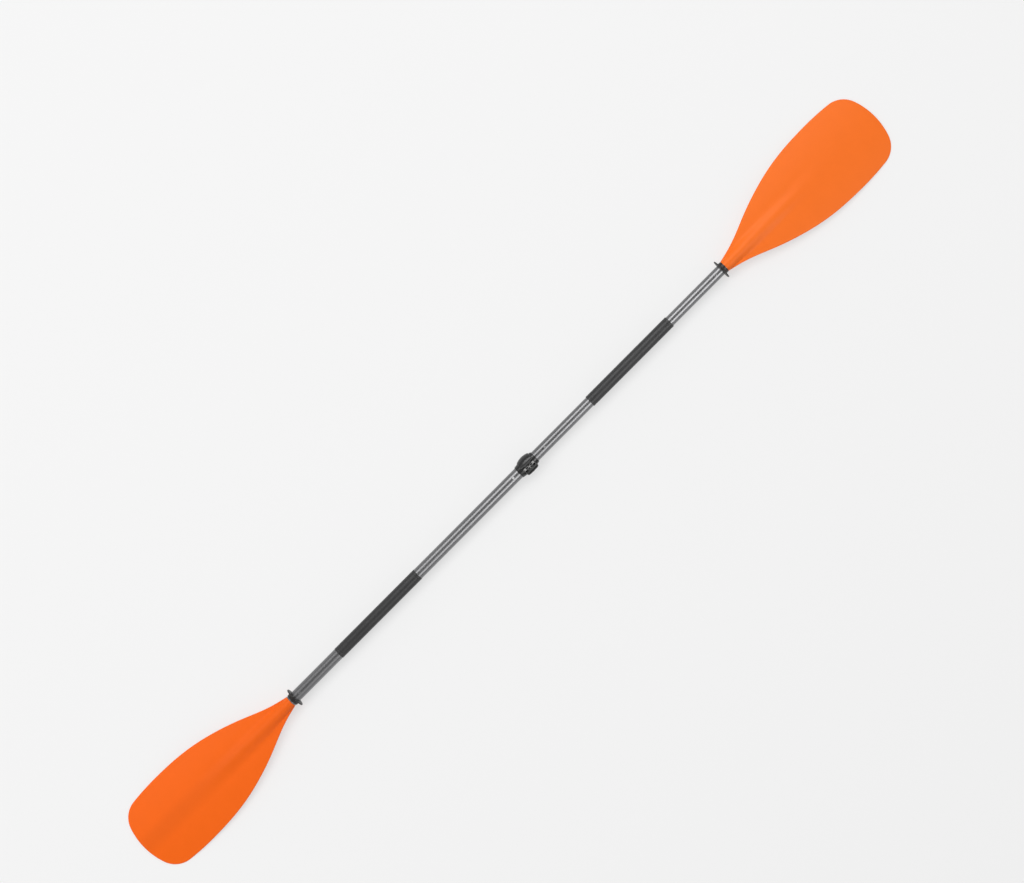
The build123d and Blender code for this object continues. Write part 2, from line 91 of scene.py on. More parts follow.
SHAFT_Z = sum(height("outer_tube")) / 2
OUTER_RADIUS = round_radius("outer_tube")
INNER_RADIUS = round_radius("inner_tube")
LEVER_PIVOT = joint_place("lever_swing")
CLAMP_X = sum(ends("clamp_collar")) / 2
LUG_X = LEVER_PIVOT.x
LUG_TURN = radians(46.0)          # the lugs lean this far from straight up, towards -Y
OUT = Vector((0, -sin(LUG_TURN), cos(LUG_TURN)))      # out from the shaft between the lugs
ROUND = Vector((0, cos(LUG_TURN), sin(LUG_TURN)))     # along the tension screw, to the lever
SHAFT = Vector((CLAMP_X, 0, SHAFT_Z))
ALONG, SIDEWAYS, UP = (1, 0, 0), (0, 1, 0), (0, 0, 1)
TUBE_WALL = 0.8 * MM
SLIP = 0.05 * MM                  # room between the tubes and what sits on or in them
STEP = 0.001 * MM                 # a square shoulder in a turned outline takes this much length


# ---------------------------------------------------------------- surfaces as whole arrays

def grid_quads(rows, columns, wrap_rows=False, wrap_columns=True):
    """Faces of a grid of points numbered row by row; a wrapped side joins its last line to its first."""
    row = np.arange(rows if wrap_rows else rows - 1)[:, None]
    column = np.arange(columns if wrap_columns else columns - 1)[None, :]
    next_row, next_column = (row + 1) % rows, (column + 1) % columns
    corners = (row * columns + column, row * columns + next_column,
               next_row * columns + next_column, next_row * columns + column)
    return np.stack(np.broadcast_arrays(*corners), axis=-1).reshape(-1, 4)


def closed_rounds(rows, columns):
    """Faces of a grid whose rows are rounds, with a flat face on the first and on the last."""
    first = np.arange(columns)[None, :]
    return [grid_quads(rows, columns), first, first + (rows - 1) * columns]


def unit(turns):
    """Points (cos a, sin a) for turns a."""
    return np.stack([np.cos(turns), np.sin(turns)], axis=-1)


def spokes(turns, axis, side):
    """Directions square to an axis, turned from the side: cos a side + sin a (axis x side)."""
    return np.cos(turns)[..., None] * side + np.sin(turns)[..., None] * np.cross(axis, side)


def softened(corners, reach, steps=6):
    """A closed outline with its corners rounded: near a corner P the line follows
    (1-t)^2 A + 2t(1-t) P + t^2 B, where A and B lie at the reach from P on its two sides."""
    corners = np.asarray(corners, float)
    reach = np.broadcast_to(np.asarray(reach, float), len(corners))
    t = np.linspace(0, 1, steps)[None, :, None]

    def towards(other):
        away = other - corners
        length = np.linalg.norm(away, axis=1)
        return (corners + away * (np.minimum(reach, 0.48 * length) / length)[:, None])[:, None]

    start, end = towards(np.roll(corners, 1, axis=0)), towards(np.roll(corners, -1, axis=0))
    line = ((1 - t)**2 * start + 2 * t * (1 - t) * corners[:, None] + t**2 * end).reshape(-1, 2)
    return line[np.linalg.norm(line - np.roll(line, 1, axis=0), axis=1) > 1e-7]


def spaced(line, count, closed=False):
    """A line or a closed outline again, with its points the same way apart."""
    line = np.vstack([line, line[:1]]) if closed else line
    run = np.r_[0, np.cumsum(np.linalg.norm(np.diff(line, axis=0), axis=1))]
    even = np.linspace(0, run[-1], count, endpoint=not closed)
    return np.stack([np.interp(even, run, line[:, k]) for k in (0, 1)], axis=-1)


def turned_about(outline, origin, axis, side, segments):
    """A closed outline of (along, radius) points carried round an axis through origin:
    P = origin + along axis + radius (cos a side + sin a (axis x side))."""
    axis, side = np.array(axis, float), np.array(side, float)
    spoke = spokes(np.linspace(0, 2 * pi, segments, endpoint=False)[None, :], axis, side)
    points = np.array(origin) + outline[:, None, :1] * axis + outline[:, None, 1:] * spoke
    return points.reshape(-1, 3), [grid_quads(len(outline), segments, wrap_rows=True)]


def round_shaft(outline, segments=96):
    """A closed outline of (x, radius) points carried round the shaft."""
    return turned_about(np.asarray(outline), (0, 0, SHAFT_Z), ALONG, UP, segments)


def rod(stations, origin, axis, side, segments=48):
    """A solid turned from (along, radius) stations, closed by a flat face at each end."""
    points, _ = turned_about(np.asarray(stations, float), origin, axis, side, segments)
    return points, closed_rounds(len(stations), segments)


def carried(outline, origin, right, up, along, start, end):
    """A closed outline of (right, up) points carried straight from start to end along a direction."""
    right, up, along = (np.array(v, float) for v in (right, up, along))
    section = np.array(origin) + outline[:, :1] * right + outline[:, 1:] * up
    points = np.concatenate([section + start * along, section + end * along])
    return points, closed_rounds(2, len(outline))


def box_outline(right, up, rounding=0.0, centre=(0, 0)):
    """Outline of a box with the given half sizes and softened corners."""
    corners = np.array([(-right, -up), (right, -up), (right, up), (-right, up)]) + centre
    return softened(corners, rounding) if rounding else corners


def joined(*parts):
    """Several shells as one list of points and faces."""
    starts = np.cumsum([0] + [len(points) for points, _ in parts])
    shells = [faces + start for (_, own), start in zip(parts, starts) for faces in own]
    return np.concatenate([points for points, _ in parts]), shells


def smoothstep(low, high, value):
    """0 below low, 1 above high and 3t^2 - 2t^3 between."""
    t = np.clip((value - low) / (high - low), 0, 1)
    return t * t * (3 - 2 * t)


def cubic(t, start, leaving, end, arriving):
    """The cubic from start to end with its slopes there: (2t^3 - 3t^2 + 1) a + (t^3 - 2t^2 + t) u
    + (3t^2 - 2t^3) b + (t^3 - t^2) v."""
    return ((2 * t**3 - 3 * t**2 + 1) * start + (t**3 - 2 * t**2 + t) * leaving
            + (3 * t**2 - 2 * t**3) * end + (t**3 - t**2) * arriving)


# ---------------------------------------------------------------- meshes, cuts and pieces

def as_mesh(name, surface):
    """A mesh from points and shells of faces, with every shell's faces turned outwards."""
    points, shells = surface
    mesh = bpy.data.meshes.new(name)
    mesh.from_pydata(points.tolist(), [], [face for shell in shells for face in shell.tolist()])
    tidy(mesh)
    return mesh


def tidy(mesh, merge=0.004 * MM):
    """Merges doubled points and turns the faces of the closed shells outwards."""
    work = bmesh.new()
    work.from_mesh(mesh)
    bmesh.ops.remove_doubles(work, verts=work.verts, dist=merge)
    bmesh.ops.recalc_face_normals(work, faces=work.faces)
    work.to_mesh(mesh)
    work.free()


def shape(name, surface):
    """An object in the scene with the surface as its mesh."""
    made = bpy.data.objects.new(name, as_mesh(name, surface))
    bpy.context.scene.collection.objects.link(made)
    return made


def bake(made):
    """Replaces the object's mesh with the result of its modifiers and removes them."""
    made_whole = made.evaluated_get(bpy.context.evaluated_depsgraph_get())
    mesh = bpy.data.meshes.new_from_object(made_whole)
    old = made.data
    made.modifiers.clear()
    made.data = mesh
    bpy.data.meshes.remove(old)


def combine(made, surface, operation="DIFFERENCE"):
    """Cuts a surface's solid from the object, or joins it, and keeps the result as its mesh."""
    tool = shape("tool", surface)
    change = made.modifiers.new("change", "BOOLEAN")
    change.operation, change.solver, change.object = operation, "EXACT", tool
    bake(made)
    bpy.data.meshes.remove(tool.data)
    if not len(made.data.polygons):
        raise RuntimeError(f"{made.name} lost its mesh in a cut")


def break_edges(made, width, segments=2, angle=38.0):
    """Rounds the sharp edges over by a small width."""
    rounding = made.modifiers.new("edges", "BEVEL")
    rounding.width, rounding.segments = width, segments
    rounding.limit_method, rounding.angle_limit = "ANGLE", radians(angle)
    rounding.harden_normals = False
    bake(made)


def finish_piece(made, body, material, replaces=None, sharp=32.0):
    """Smooths the piece between its sharp edges, gives it its material and sets it on its body."""
    mesh = made.data
    mesh.polygons.foreach_set("use_smooth", np.ones(len(mesh.polygons), dtype=bool))
    mesh.set_sharp_from_angle(angle=radians(sharp))
    mesh.materials.clear()
    mesh.materials.append(material)
    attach(made, body)
    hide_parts(replaces or made.name)
    return made


def piece(name, surface, body, material, replaces=None, sharp=32.0):
    """A surface that stands for a node of the frame."""
    return finish_piece(shape(f"{name}_surface", surface), body, material, replaces or name, sharp)


# ---------------------------------------------------------------- blades

def curve_through(x, y, start_slope, end_slope):
    """The smooth cubic curve through points: slopes m solve
    m0/h0 + 2 m1 (1/h0 + 1/h1) + m2/h1 = 3 (d0/h0^2 + d1/h1^2) at each inner point."""
    step, rise, count = np.diff(x), np.diff(y), len(x)
    matrix, right = np.eye(count), np.zeros(count)
    right[[0, -1]] = start_slope, end_slope
    inner = np.arange(1, count - 1)
    matrix[inner, inner - 1] = 1 / step[:-1]
    matrix[inner, inner] = 2 / step[:-1] + 2 / step[1:]
    matrix[inner, inner + 1] = 1 / step[1:]
    right[inner] = 3 * (rise[:-1] / step[:-1]**2 + rise[1:] / step[1:]**2)
    slope = np.linalg.solve(matrix, right)

    def value(at):
        i = np.clip(np.searchsorted(x, at) - 1, 0, count - 2)
        return cubic((at - x[i]) / step[i], y[i], step[i] * slope[i], y[i + 1], step[i] * slope[i + 1])

    return value


# places along the blade and the shares of its flare there, from the neck to past the widest place
BLADE_SIDE = np.array([(0, 0), (0.0533, 0.076), (0.1266, 0.212), (0.2332, 0.4641), (0.339, 0.6807),
                       (0.4449, 0.8453), (0.5505, 0.948), (0.692, 0.9975), (0.7907, 0.9938)])
TIP_SHARE = 0.9035                # the same where the side would meet the bowed tip
NECK_SLOPE, TIP_SLOPE = 0.25, -0.15
SPIGOT_WALL = 3.5 * MM


def blade_outline(length, half_width, neck, sizes, count):
    """Half of the blade's outline, evenly spaced from the neck to the middle of the tip: the flared
    side, an arc of the corner's radius that touches it, and the wide arc of the bowed tip."""
    flare, bow, corner = half_width - neck, sizes.tip_bow, sizes.tip_corner
    stations, shares = BLADE_SIDE.T
    side = curve_through(np.append(stations * length, length - bow),
                         np.append(shares, TIP_SHARE) * flare + neck, NECK_SLOPE, TIP_SLOPE)
    x = np.linspace(0, length - bow, 3000)
    y = side(x)
    y *= half_width / y.max()
    wide_radius = (y[-1]**2 + bow**2) / (2 * bow)
    middle = np.array([length - wide_radius, 0.0])
    slope = np.gradient(y, x)
    inward = np.stack([slope, -np.ones_like(x)], axis=-1) / np.sqrt(1 + slope**2)[:, None]
    corner_middle = np.stack([x, y], axis=-1) + corner * inward
    short = np.linalg.norm(corner_middle - middle, axis=1) - (wide_radius - corner)
    late = x > 0.6 * length
    touch = np.interp(0.0, short[late], x[late])
    centre = np.array([np.interp(touch, x, corner_middle[:, k]) for k in (0, 1)])
    first = np.array([touch, np.interp(touch, x, y)]) - centre
    last = (centre - middle) / np.linalg.norm(centre - middle)
    turn = np.linspace(atan2(first[1], first[0]), atan2(last[1], last[0]), 300)
    sweep = np.linspace(atan2(last[1], last[0]), 0, 300)[1:]
    line = np.concatenate([
        np.stack([x, y], axis=-1)[x < touch],
        centre + corner * unit(turn),
        middle + wide_radius * unit(sweep),
    ])
    return spaced(line, count)


def blade_shell(node, neck, sizes):
    """One blade. Its two parameters are the place along the outline and the way in from the rim to
    the middle line. The sheet's middle is bent along and arched across,
    z = sqrt((R - y^2/2a)^2 - x^2) - R, and the half thickness T is
    T^2 = sheet^2 + (spine (1 - (y/w)^2)^p)^2, less a shallow groove on each side of the spine."""
    first, last = ends(node)
    way = 1 if last > 0 else -1
    shoulder, tip = (first + sizes.spigot, last) if way > 0 else (last - sizes.spigot, first)
    length = abs(tip - shoulder)
    half_width = round_radius(node)
    half = blade_outline(length, half_width, neck, sizes, 170)
    outline = np.concatenate([half, half[-2::-1] * (1, -1)])
    tangent = np.gradient(outline, axis=0)
    inward = np.stack([tangent[:, 1], -tangent[:, 0]], axis=-1) / np.linalg.norm(tangent, axis=1)[:, None]
    inward[[0, -1]] = (0, -1), (0, 1)
    edge = sizes.sheet_edge / 2
    inner = outline + edge * inward
    middle_x = inner[:, 0] - 0.15 * length * smoothstep(0.3 * length, 0.98 * length, inner[:, 0])

    def sheet(x, y):
        return np.sqrt((sizes.spoon - y**2 / (2 * sizes.arch))**2 - x**2) - sizes.spoon

    def thickness(x, y):
        part_way = np.clip(x / sizes.spine_length, 0, 1)
        away = smoothstep(0, 0.22 * length, x)
        plain = edge + (sizes.sheet_middle / 2 - edge) * (1 - np.clip(y / half_width, -1, 1)**2)
        wide = (neck * (1 - part_way)**0.7 + 12 * MM * part_way) * (1 + 0.7 * away)
        high = 0.985 * neck * (1 - part_way)**1.4
        spine = high * np.clip(1 - (y / wide)**2, 0, 1)**(0.5 + 1.6 * away)
        beside = np.exp(-((np.abs(y) - 1.05 * wide) / (0.3 * wide))**2)
        groove = sizes.groove * away * (1 - smoothstep(0.75, 1.0, part_way)) * beside
        return np.sqrt(plain**2 + spine**2) - groove

    turn = np.linspace(pi / 2, -pi / 2, 13)[:, None]
    rim = outline + edge * (1 - np.cos(turn))[:, :, None] * inward
    rim_z = sheet(rim[..., 0], rim[..., 1]) + np.sin(turn) * thickness(inner[:, 0], inner[:, 1])
    way_in = (np.linspace(1, 0, 60)**1.1)[:-1, None]
    face_x = (1 - way_in) * inner[:, 0] + way_in * middle_x
    face_y = (1 - way_in) * inner[:, 1]
    middle, half_thick = sheet(face_x, face_y), thickness(face_x, face_y)
    back = np.stack([face_x, face_y, middle + half_thick], axis=-1)
    front = np.stack([face_x, face_y, middle - half_thick], axis=-1)[::-1]
    rows = np.concatenate([back, np.dstack([rim, rim_z]), front])
    points = rows.reshape(-1, 3) * (way, way, 1) + (shoulder, 0, SHAFT_Z)
    return points, [grid_quads(rows.shape[0], rows.shape[1], wrap_columns=False)], shoulder, way


def make_blade(node, tube_bore, body, material, sizes):
    """A blade closed at its neck, and the hollow spigot that the tube's end takes. The shell's two
    halves share their middle line, where the near points are merged."""
    points, shells, shoulder, way = blade_shell(node, OUTER_RADIUS + sizes.neck_step, sizes)
    made = shape(f"{node}_surface", (points, shells))
    work = bmesh.new()
    work.from_mesh(made.data)
    bmesh.ops.remove_doubles(work, verts=work.verts, dist=0.02 * MM)
    bmesh.ops.holes_fill(work, edges=[edge for edge in work.edges if edge.is_boundary], sides=0)
    bmesh.ops.recalc_face_normals(work, faces=work.faces)
    work.to_mesh(made.data)
    work.free()
    core = tube_bore - SPIGOT_WALL
    wall = softened([(-sizes.spigot, core), (-sizes.spigot, tube_bore), (MM, tube_bore), (MM, core)],
                    (0.4 * MM, MM, 0.1 * MM, 0.1 * MM))
    combine(made, round_shaft(wall * (way, 1) + (shoulder, 0), 72), "UNION")
    return finish_piece(made, body, material, node, sharp=50)


# ---------------------------------------------------------------- shaft

RIVET_SHANK, RIVET_HEAD, RIVET_DEPTH = 2.0 * MM, 3.0 * MM, 9.0 * MM
RIVET_ROOM = 0.06 * MM            # between a rivet and its hole in the tube
RELIEF_HALF, RELIEF_LENGTH = 0.8 * MM, 34.0 * MM      # relief slots in the outer tube's end


def rivet_outline(tube_radius, room=0.0):
    """A countersunk rivet's (height, radius) stations from inside the spigot to the tube's skin."""
    shank, head = RIVET_SHANK + room, RIVET_HEAD + room
    return [(tube_radius - RIVET_DEPTH, shank), (tube_radius - TUBE_WALL, shank), (tube_radius, head),
            (tube_radius + 0.6 * MM, head)]


def rivet_x(node):
    """Place along the shaft of a pair of rivets."""
    return sum(ends(node)) / 2


def make_tube(node, radius, rivets, body, material, slots=()):
    """A tube with eased ends, its relief slots, and the countersunk holes of its rivets."""
    low, high = ends(node)
    bore = radius - TUBE_WALL
    wall = softened([(low, bore), (low, radius), (high, radius), (high, bore)], 0.25 * MM)
    made = shape(f"{node}_surface", round_shaft(wall, 144))
    at = (rivet_x(rivets), 0, SHAFT_Z)
    holes = [rod(rivet_outline(radius, RIVET_ROOM), at, (0, 0, way), ALONG, 40) for way in (1, -1)]
    combine(made, joined(*holes, *slots))
    return finish_piece(made, body, material, node, sharp=25)


def tube_slots():
    """Boxes for the four relief slots in the outer tube's end, one of them under the collar's slit."""
    end = ends("outer_tube")[1]
    bar = box_outline(RELIEF_HALF, 3 * MM, centre=(0, OUTER_RADIUS))
    boxes = []
    for quarter in range(4):
        turn = LUG_TURN + quarter * pi / 2
        side, out = (0, cos(turn), sin(turn)), (0, -sin(turn), cos(turn))
        boxes.append(carried(bar, (0, 0, SHAFT_Z), side, out, ALONG, end - RELIEF_LENGTH, end + 2 * MM))
    return boxes


def make_rivets(node, tube_radius, body, material):
    """Two flush rivets whose heads follow the tube's round, with the dimple of the drawn-off stem."""
    at = (rivet_x(node), 0, SHAFT_Z)
    dimple = [(tube_radius - 0.7 * MM, 0.5 * MM), (tube_radius + 0.2 * MM, 0.95 * MM)]
    pins = [rod(rivet_outline(tube_radius), at, (0, 0, way), ALONG, 56) for way in (1, -1)]
    made = shape(f"{node}_surface", joined(*pins))
    skin = rod([(-2 * RIVET_HEAD, tube_radius), (2 * RIVET_HEAD, tube_radius)], at, ALONG, UP, 288)
    combine(made, skin, "INTERSECT")
    combine(made, joined(*(rod(dimple, at, (0, 0, way), ALONG, 24) for way in (1, -1))))
    return finish_piece(made, body, material, node, sharp=25)


def make_grip(node, tube_radius, body, material, sizes):
    """A sleeve with round ends and a shallow groove near each."""
    low, high = ends(node)
    skin, inside = round_radius(node), tube_radius + SLIP
    inset, half, depth = sizes.grip_groove_inset, 0.8 * MM, 0.3 * MM
    corners = [(low, inside), (low, skin)]
    for groove in (low + inset, high - inset):
        corners += [(groove - half, skin), (groove - half / 2, skin - depth),
                    (groove + half / 2, skin - depth), (groove + half, skin)]
    corners += [(high, skin), (high, inside)]
    reach = [0.05 * MM, 0.5 * MM] + [0.25 * MM] * 8 + [0.5 * MM, 0.05 * MM]
    surface = round_shaft(softened(corners, reach, 5), 144)
    return piece(node, surface, body, material, sharp=60)


def make_drip_ring(node, tube_radius, body, material, sizes):
    """A disc that thins to its rim, on a short hub towards the blade."""
    low, high = ends(node)
    way = 1 if high > 0 else -1
    disc, hub = (low, high) if way > 0 else (high, low)
    root, rim = sizes.ring_root, sizes.ring_rim
    middle = disc + way * root / 2
    bore = tube_radius + SLIP
    hub_skin, skin = bore + sizes.ring_hub_wall, round_radius(node)
    foot = hub_skin + 0.6 * MM
    corners = [(disc, bore), (disc, foot), (middle - way * rim / 2, skin), (middle + way * rim / 2, skin),
               (disc + way * root, foot), (hub, hub_skin), (hub, bore)]
    reach = np.array([0.3, 0.8, 1.25, 1.25, 1.6, 0.7, 0.3]) * MM
    surface = round_shaft(softened(corners, reach, 8), 144)
    return piece(node, surface, body, material, sharp=60)


def make_end_plug(material):
    """The plug in the inner tube's end: a domed head, x = a (1 - sqrt(1 - r^2/R^2)), and a stem."""
    low, high = ends("inner_end_plug")
    skin, stem = INNER_RADIUS, INNER_RADIUS - TUBE_WALL - SLIP
    head, rise, ease = 20 * MM, 9 * MM, 0.3 * MM
    seat = low + head
    r = skin * np.sin(np.linspace(0.02, pi / 2, 24))
    dome = np.stack([low + rise * (1 - np.sqrt(np.clip(1 - (r / skin)**2, 0, 1))), r], axis=-1)
    rest = np.array([(seat - ease, skin), (seat, skin - ease), (seat, stem), (high - MM, stem),
                     (high, stem - MM)])
    surface = rod(np.concatenate([dome, rest]), (0, 0, SHAFT_Z), ALONG, UP, 96)
    return piece("inner_end_plug", surface, "tube_plug", material)


def make_foam_plug(node, body, material):
    """A plain cylinder of foam with softly rounded ends."""
    low, high = ends(node)
    radius, soft = round_radius(node), 1.5 * MM
    turn = np.linspace(0.05, pi / 2, 8)
    start = np.stack([low + soft * (1 - np.sin(turn)), radius - soft + soft * np.cos(turn)], axis=-1)[::-1]
    finish = start[::-1] * (-1, 1) + (low + high, 0)
    surface = rod(np.concatenate([start, finish]), (0, 0, SHAFT_Z), ALONG, UP, 64)
    return piece(node, surface, body, material)


# ---------------------------------------------------------------- clamp

COLLAR_RADIUS = SHAFT_Z - height("clamp_collar")[0]
COLLAR_START, COLLAR_END = ends("clamp_collar")
CROWN, TAPER = 1.0 * MM, 10.0 * MM                    # the barrel's bulge, and its ends' length
OUTER_END, INNER_END = OUTER_RADIUS + 1.3 * MM, INNER_RADIUS + 1.6 * MM   # the barrel's end radii
LIP, MOUTH_ROOM = 5.0 * MM, 0.2 * MM                  # the collar's end about the inner tube
LUG_TOP = COLLAR_RADIUS + 7.7 * MM
SCREW_RISE = COLLAR_RADIUS + 3.1 * MM
FLANGE = 9.0 * MM                 # the closed ring beyond the end of the slit
SLIT_START = COLLAR_START + FLANGE
SLIT_HALF, SLIT_END_RADIUS = 1.0 * MM, 1.8 * MM
LUG_LENGTH = 33.0 * MM
LUG_HALF = 6.6 * MM               # the slit's middle to a lug's outer face
RECESS, RECESS_RADIUS = 3.2 * MM, 4.2 * MM            # the pocket for the tension screw's head
SCREW_PLACE = SHAFT + OUT * SCREW_RISE + Vector((LUG_X - CLAMP_X, 0, 0))
SCREW_RADIUS, SCREW_HOLE = 2.4 * MM, 2.7 * MM
HEAD_RADIUS, HEAD_HEIGHT = 3.5 * MM, 2.8 * MM
WASHER, WASHER_RADIUS = 0.8 * MM, 3.9 * MM
SMALL_SHANK, SMALL_HEAD, SMALL_HEIGHT = 1.5 * MM, 2.8 * MM, 1.3 * MM      # the collar's own screw
PIN_RADIUS, PIN_ROOM = 3.2 * MM, 0.05 * MM
CAM_RADIUS, CAM_OFFSET = 5.79 * MM, 0.4 * MM          # the cam, and its middle's way off the pin
LEVER_GAP = 0.8 * MM              # between the collar and the lever about it
LEVER_TIP, LEVER_FLARE = 1.6 * MM, 0.4 * MM           # the round tip and how far it stands out
LEVER_END, LEVER_ARC = radians(-12), radians(100)     # the handle's end from +Y, and its arc
WAIST = radians(71.5)             # the handle's arc goes on to here, below the sweep to the cam
LEVER_EDGE = 1.7 * MM             # the round along the lever's sides
ROOT_HALF, NOTCH_EDGE = 9.0 * MM, 1.5 * MM            # the lever's root between its side notches
LEVER_SLOT = SCREW_RADIUS + 0.5 * MM                  # half of the slot that passes the screw
LEVER_OPEN = radians(150)


def barrel_line(raised=0.0, count=60):
    """The barrel's outer line as (x, radius): r = R - c (s/S)^2 out to the tapers, then
    r = R - c - 2c t/S - k t^2 to the end radius, with s and t the ways from the middle and the taper."""
    x = np.linspace(COLLAR_START, COLLAR_END, count)
    away, shoulder = np.abs(x - CLAMP_X), (COLLAR_END - COLLAR_START) / 2 - TAPER
    end = np.where(x < CLAMP_X, OUTER_END, INNER_END)
    past = np.clip(away - shoulder, 0, None)
    fall = CROWN * (np.minimum(away, shoulder) / shoulder)**2 + 2 * CROWN / shoulder * past
    bend = (COLLAR_RADIUS - end - CROWN - 2 * CROWN * TAPER / shoulder) / TAPER**2
    return np.stack([x, COLLAR_RADIUS + raised - fall - bend * past**2], axis=-1)


def lug_block():
    """The two lugs as one block: rounds across the shaft, r = superellipse of the half widths,
    drawn in towards both ends with x = the half length, so that every outer corner is round."""
    middle, power = COLLAR_RADIUS * 0.72, 5
    half_high = LUG_TOP - middle
    turn = np.linspace(0, 2 * np.pi, 96, endpoint=False)

    def rounded(value):
        return np.sign(value) * np.abs(value)**(2 / power)

    place = np.linspace(-1, 1, 41)
    draw = (1 - np.abs(place)**power)**(1 / power)
    across = LUG_HALF * rounded(np.cos(turn))[None, :] * (0.75 + 0.25 * draw)[:, None]
    up = half_high * rounded(np.sin(turn))[None, :] * np.clip(draw, 0.45, 1)[:, None]
    x = np.repeat(LUG_LENGTH / 2 * place[:, None], len(turn), axis=1)
    base = np.array(SHAFT + Vector((LUG_X - CLAMP_X, 0, 0)) + OUT * middle)
    points = (base + across[..., None] * np.array(ROUND) + up[..., None] * np.array(OUT)
              + x[..., None] * np.array(ALONG))
    return points.reshape(-1, 3), closed_rounds(*points.shape[:2])


def make_collar(material):
    """The collar: its barrel with two lugs, the stepped bore, the slit with its round end,
    the screw's hole and recess, and the seat of the small screw below."""
    line, ease = barrel_line(), 0.5 * MM
    lip, seat, mouth = COLLAR_END - LIP, OUTER_RADIUS + SLIP, INNER_RADIUS + MOUTH_ROOM
    inside = np.array([(COLLAR_END, mouth), (lip, mouth), (lip, seat), (COLLAR_START, seat)])
    ring = np.concatenate([line[1:-1], [line[-1] + (-ease, 0), line[-1] + (0, -ease)],
                           inside, [line[0] + (0, -ease), line[0] + (ease, 0)]])
    made = shape("clamp_collar_surface", round_shaft(ring, 144))
    combine(made, lug_block(), "UNION")
    hollow = rod([(COLLAR_START - MM, seat), (lip, seat), (lip + STEP, mouth), (COLLAR_END + MM, mouth)],
                 (0, 0, SHAFT_Z), ALONG, UP, 144)
    combine(made, hollow)
    slit = carried(box_outline(SLIT_HALF, 12 * MM, centre=(0, COLLAR_RADIUS + 3 * MM)), (0, 0, SHAFT_Z),
                   ROUND, OUT, ALONG, SLIT_START, COLLAR_END + MM)
    slit_end = rod([(8 * MM, SLIT_END_RADIUS), (LUG_TOP + MM, SLIT_END_RADIUS)],
                   (SLIT_START, 0, SHAFT_Z), OUT, ALONG, 32)
    hole = rod([(-9 * MM, SCREW_HOLE), (9 * MM, SCREW_HOLE)], SCREW_PLACE, ROUND, ALONG, 48)
    recess = rod([(LUG_HALF - RECESS, RECESS_RADIUS), (LUG_HALF + 4 * MM, RECESS_RADIUS)],
                 SCREW_PLACE, -ROUND, ALONG, 64)
    low_screw = (COLLAR_START + FLANGE / 2, 0, SHAFT_Z)
    shank, head, seat_depth = SMALL_SHANK + 0.1 * MM, SMALL_HEAD + 0.15 * MM, COLLAR_RADIUS - 2.9 * MM
    well = rod([(10 * MM, shank), (seat_depth, shank), (seat_depth + STEP, head),
                (COLLAR_RADIUS + MM, head)], low_screw, (0, 0, -1), ALONG, 40)
    for cut in (slit, slit_end, hole, recess, well):
        combine(made, cut)
    break_edges(made, 0.35 * MM)
    return finish_piece(made, "outer_half", material, "clamp_collar", sharp=40)


def hull_outline(rounds, directions):
    """Outline of the hull of several rounds: in each direction n the farthest point c + r n, where
    an arc that lacks the direction gives its nearer end instead."""
    n = unit(directions)
    reached, points = [], []
    for centre, radius, arc in rounds:
        turn = directions
        if arc:
            low, high = arc
            middle = (low + high) / 2
            turn = np.clip((directions - middle + pi) % (2 * pi) - pi, low - middle, high - middle) + middle
        point = np.array(centre) + radius * unit(turn)
        points.append(point)
        reached.append((point * n).sum(axis=1))
    best = np.argmax(reached, axis=0)
    return np.stack(points)[best, np.arange(len(directions))]


def waisted(line, directions, radius, turn):
    """A lever outline with its straight run to the cam drawn in: the handle's arc goes on to the
    turn, and a cubic S that ends in the run's own direction leads up to the cam."""
    steps = np.linalg.norm(np.diff(line, axis=0), axis=1)
    steps[(directions[:-1] < 0) | (directions[:-1] > pi / 2)] = 0
    last = int(np.argmax(steps))
    begin = np.arctan2(line[last, 1], line[last, 0])
    arc = radius * unit(np.linspace(begin, turn, 40)[1:])
    waist, cam = arc[-1], line[last + 1]
    run, round_about = np.linalg.norm(cam - waist), np.array((-sin(turn), cos(turn)))
    straight = (cam - line[last]) / np.linalg.norm(cam - line[last])
    t = np.linspace(0, 1, 60)[1:-1, None]
    bend = cubic(t, waist, run * round_about, cam, run * straight)
    return np.vstack([line[:last + 1], arc, bend, line[last + 1:]])


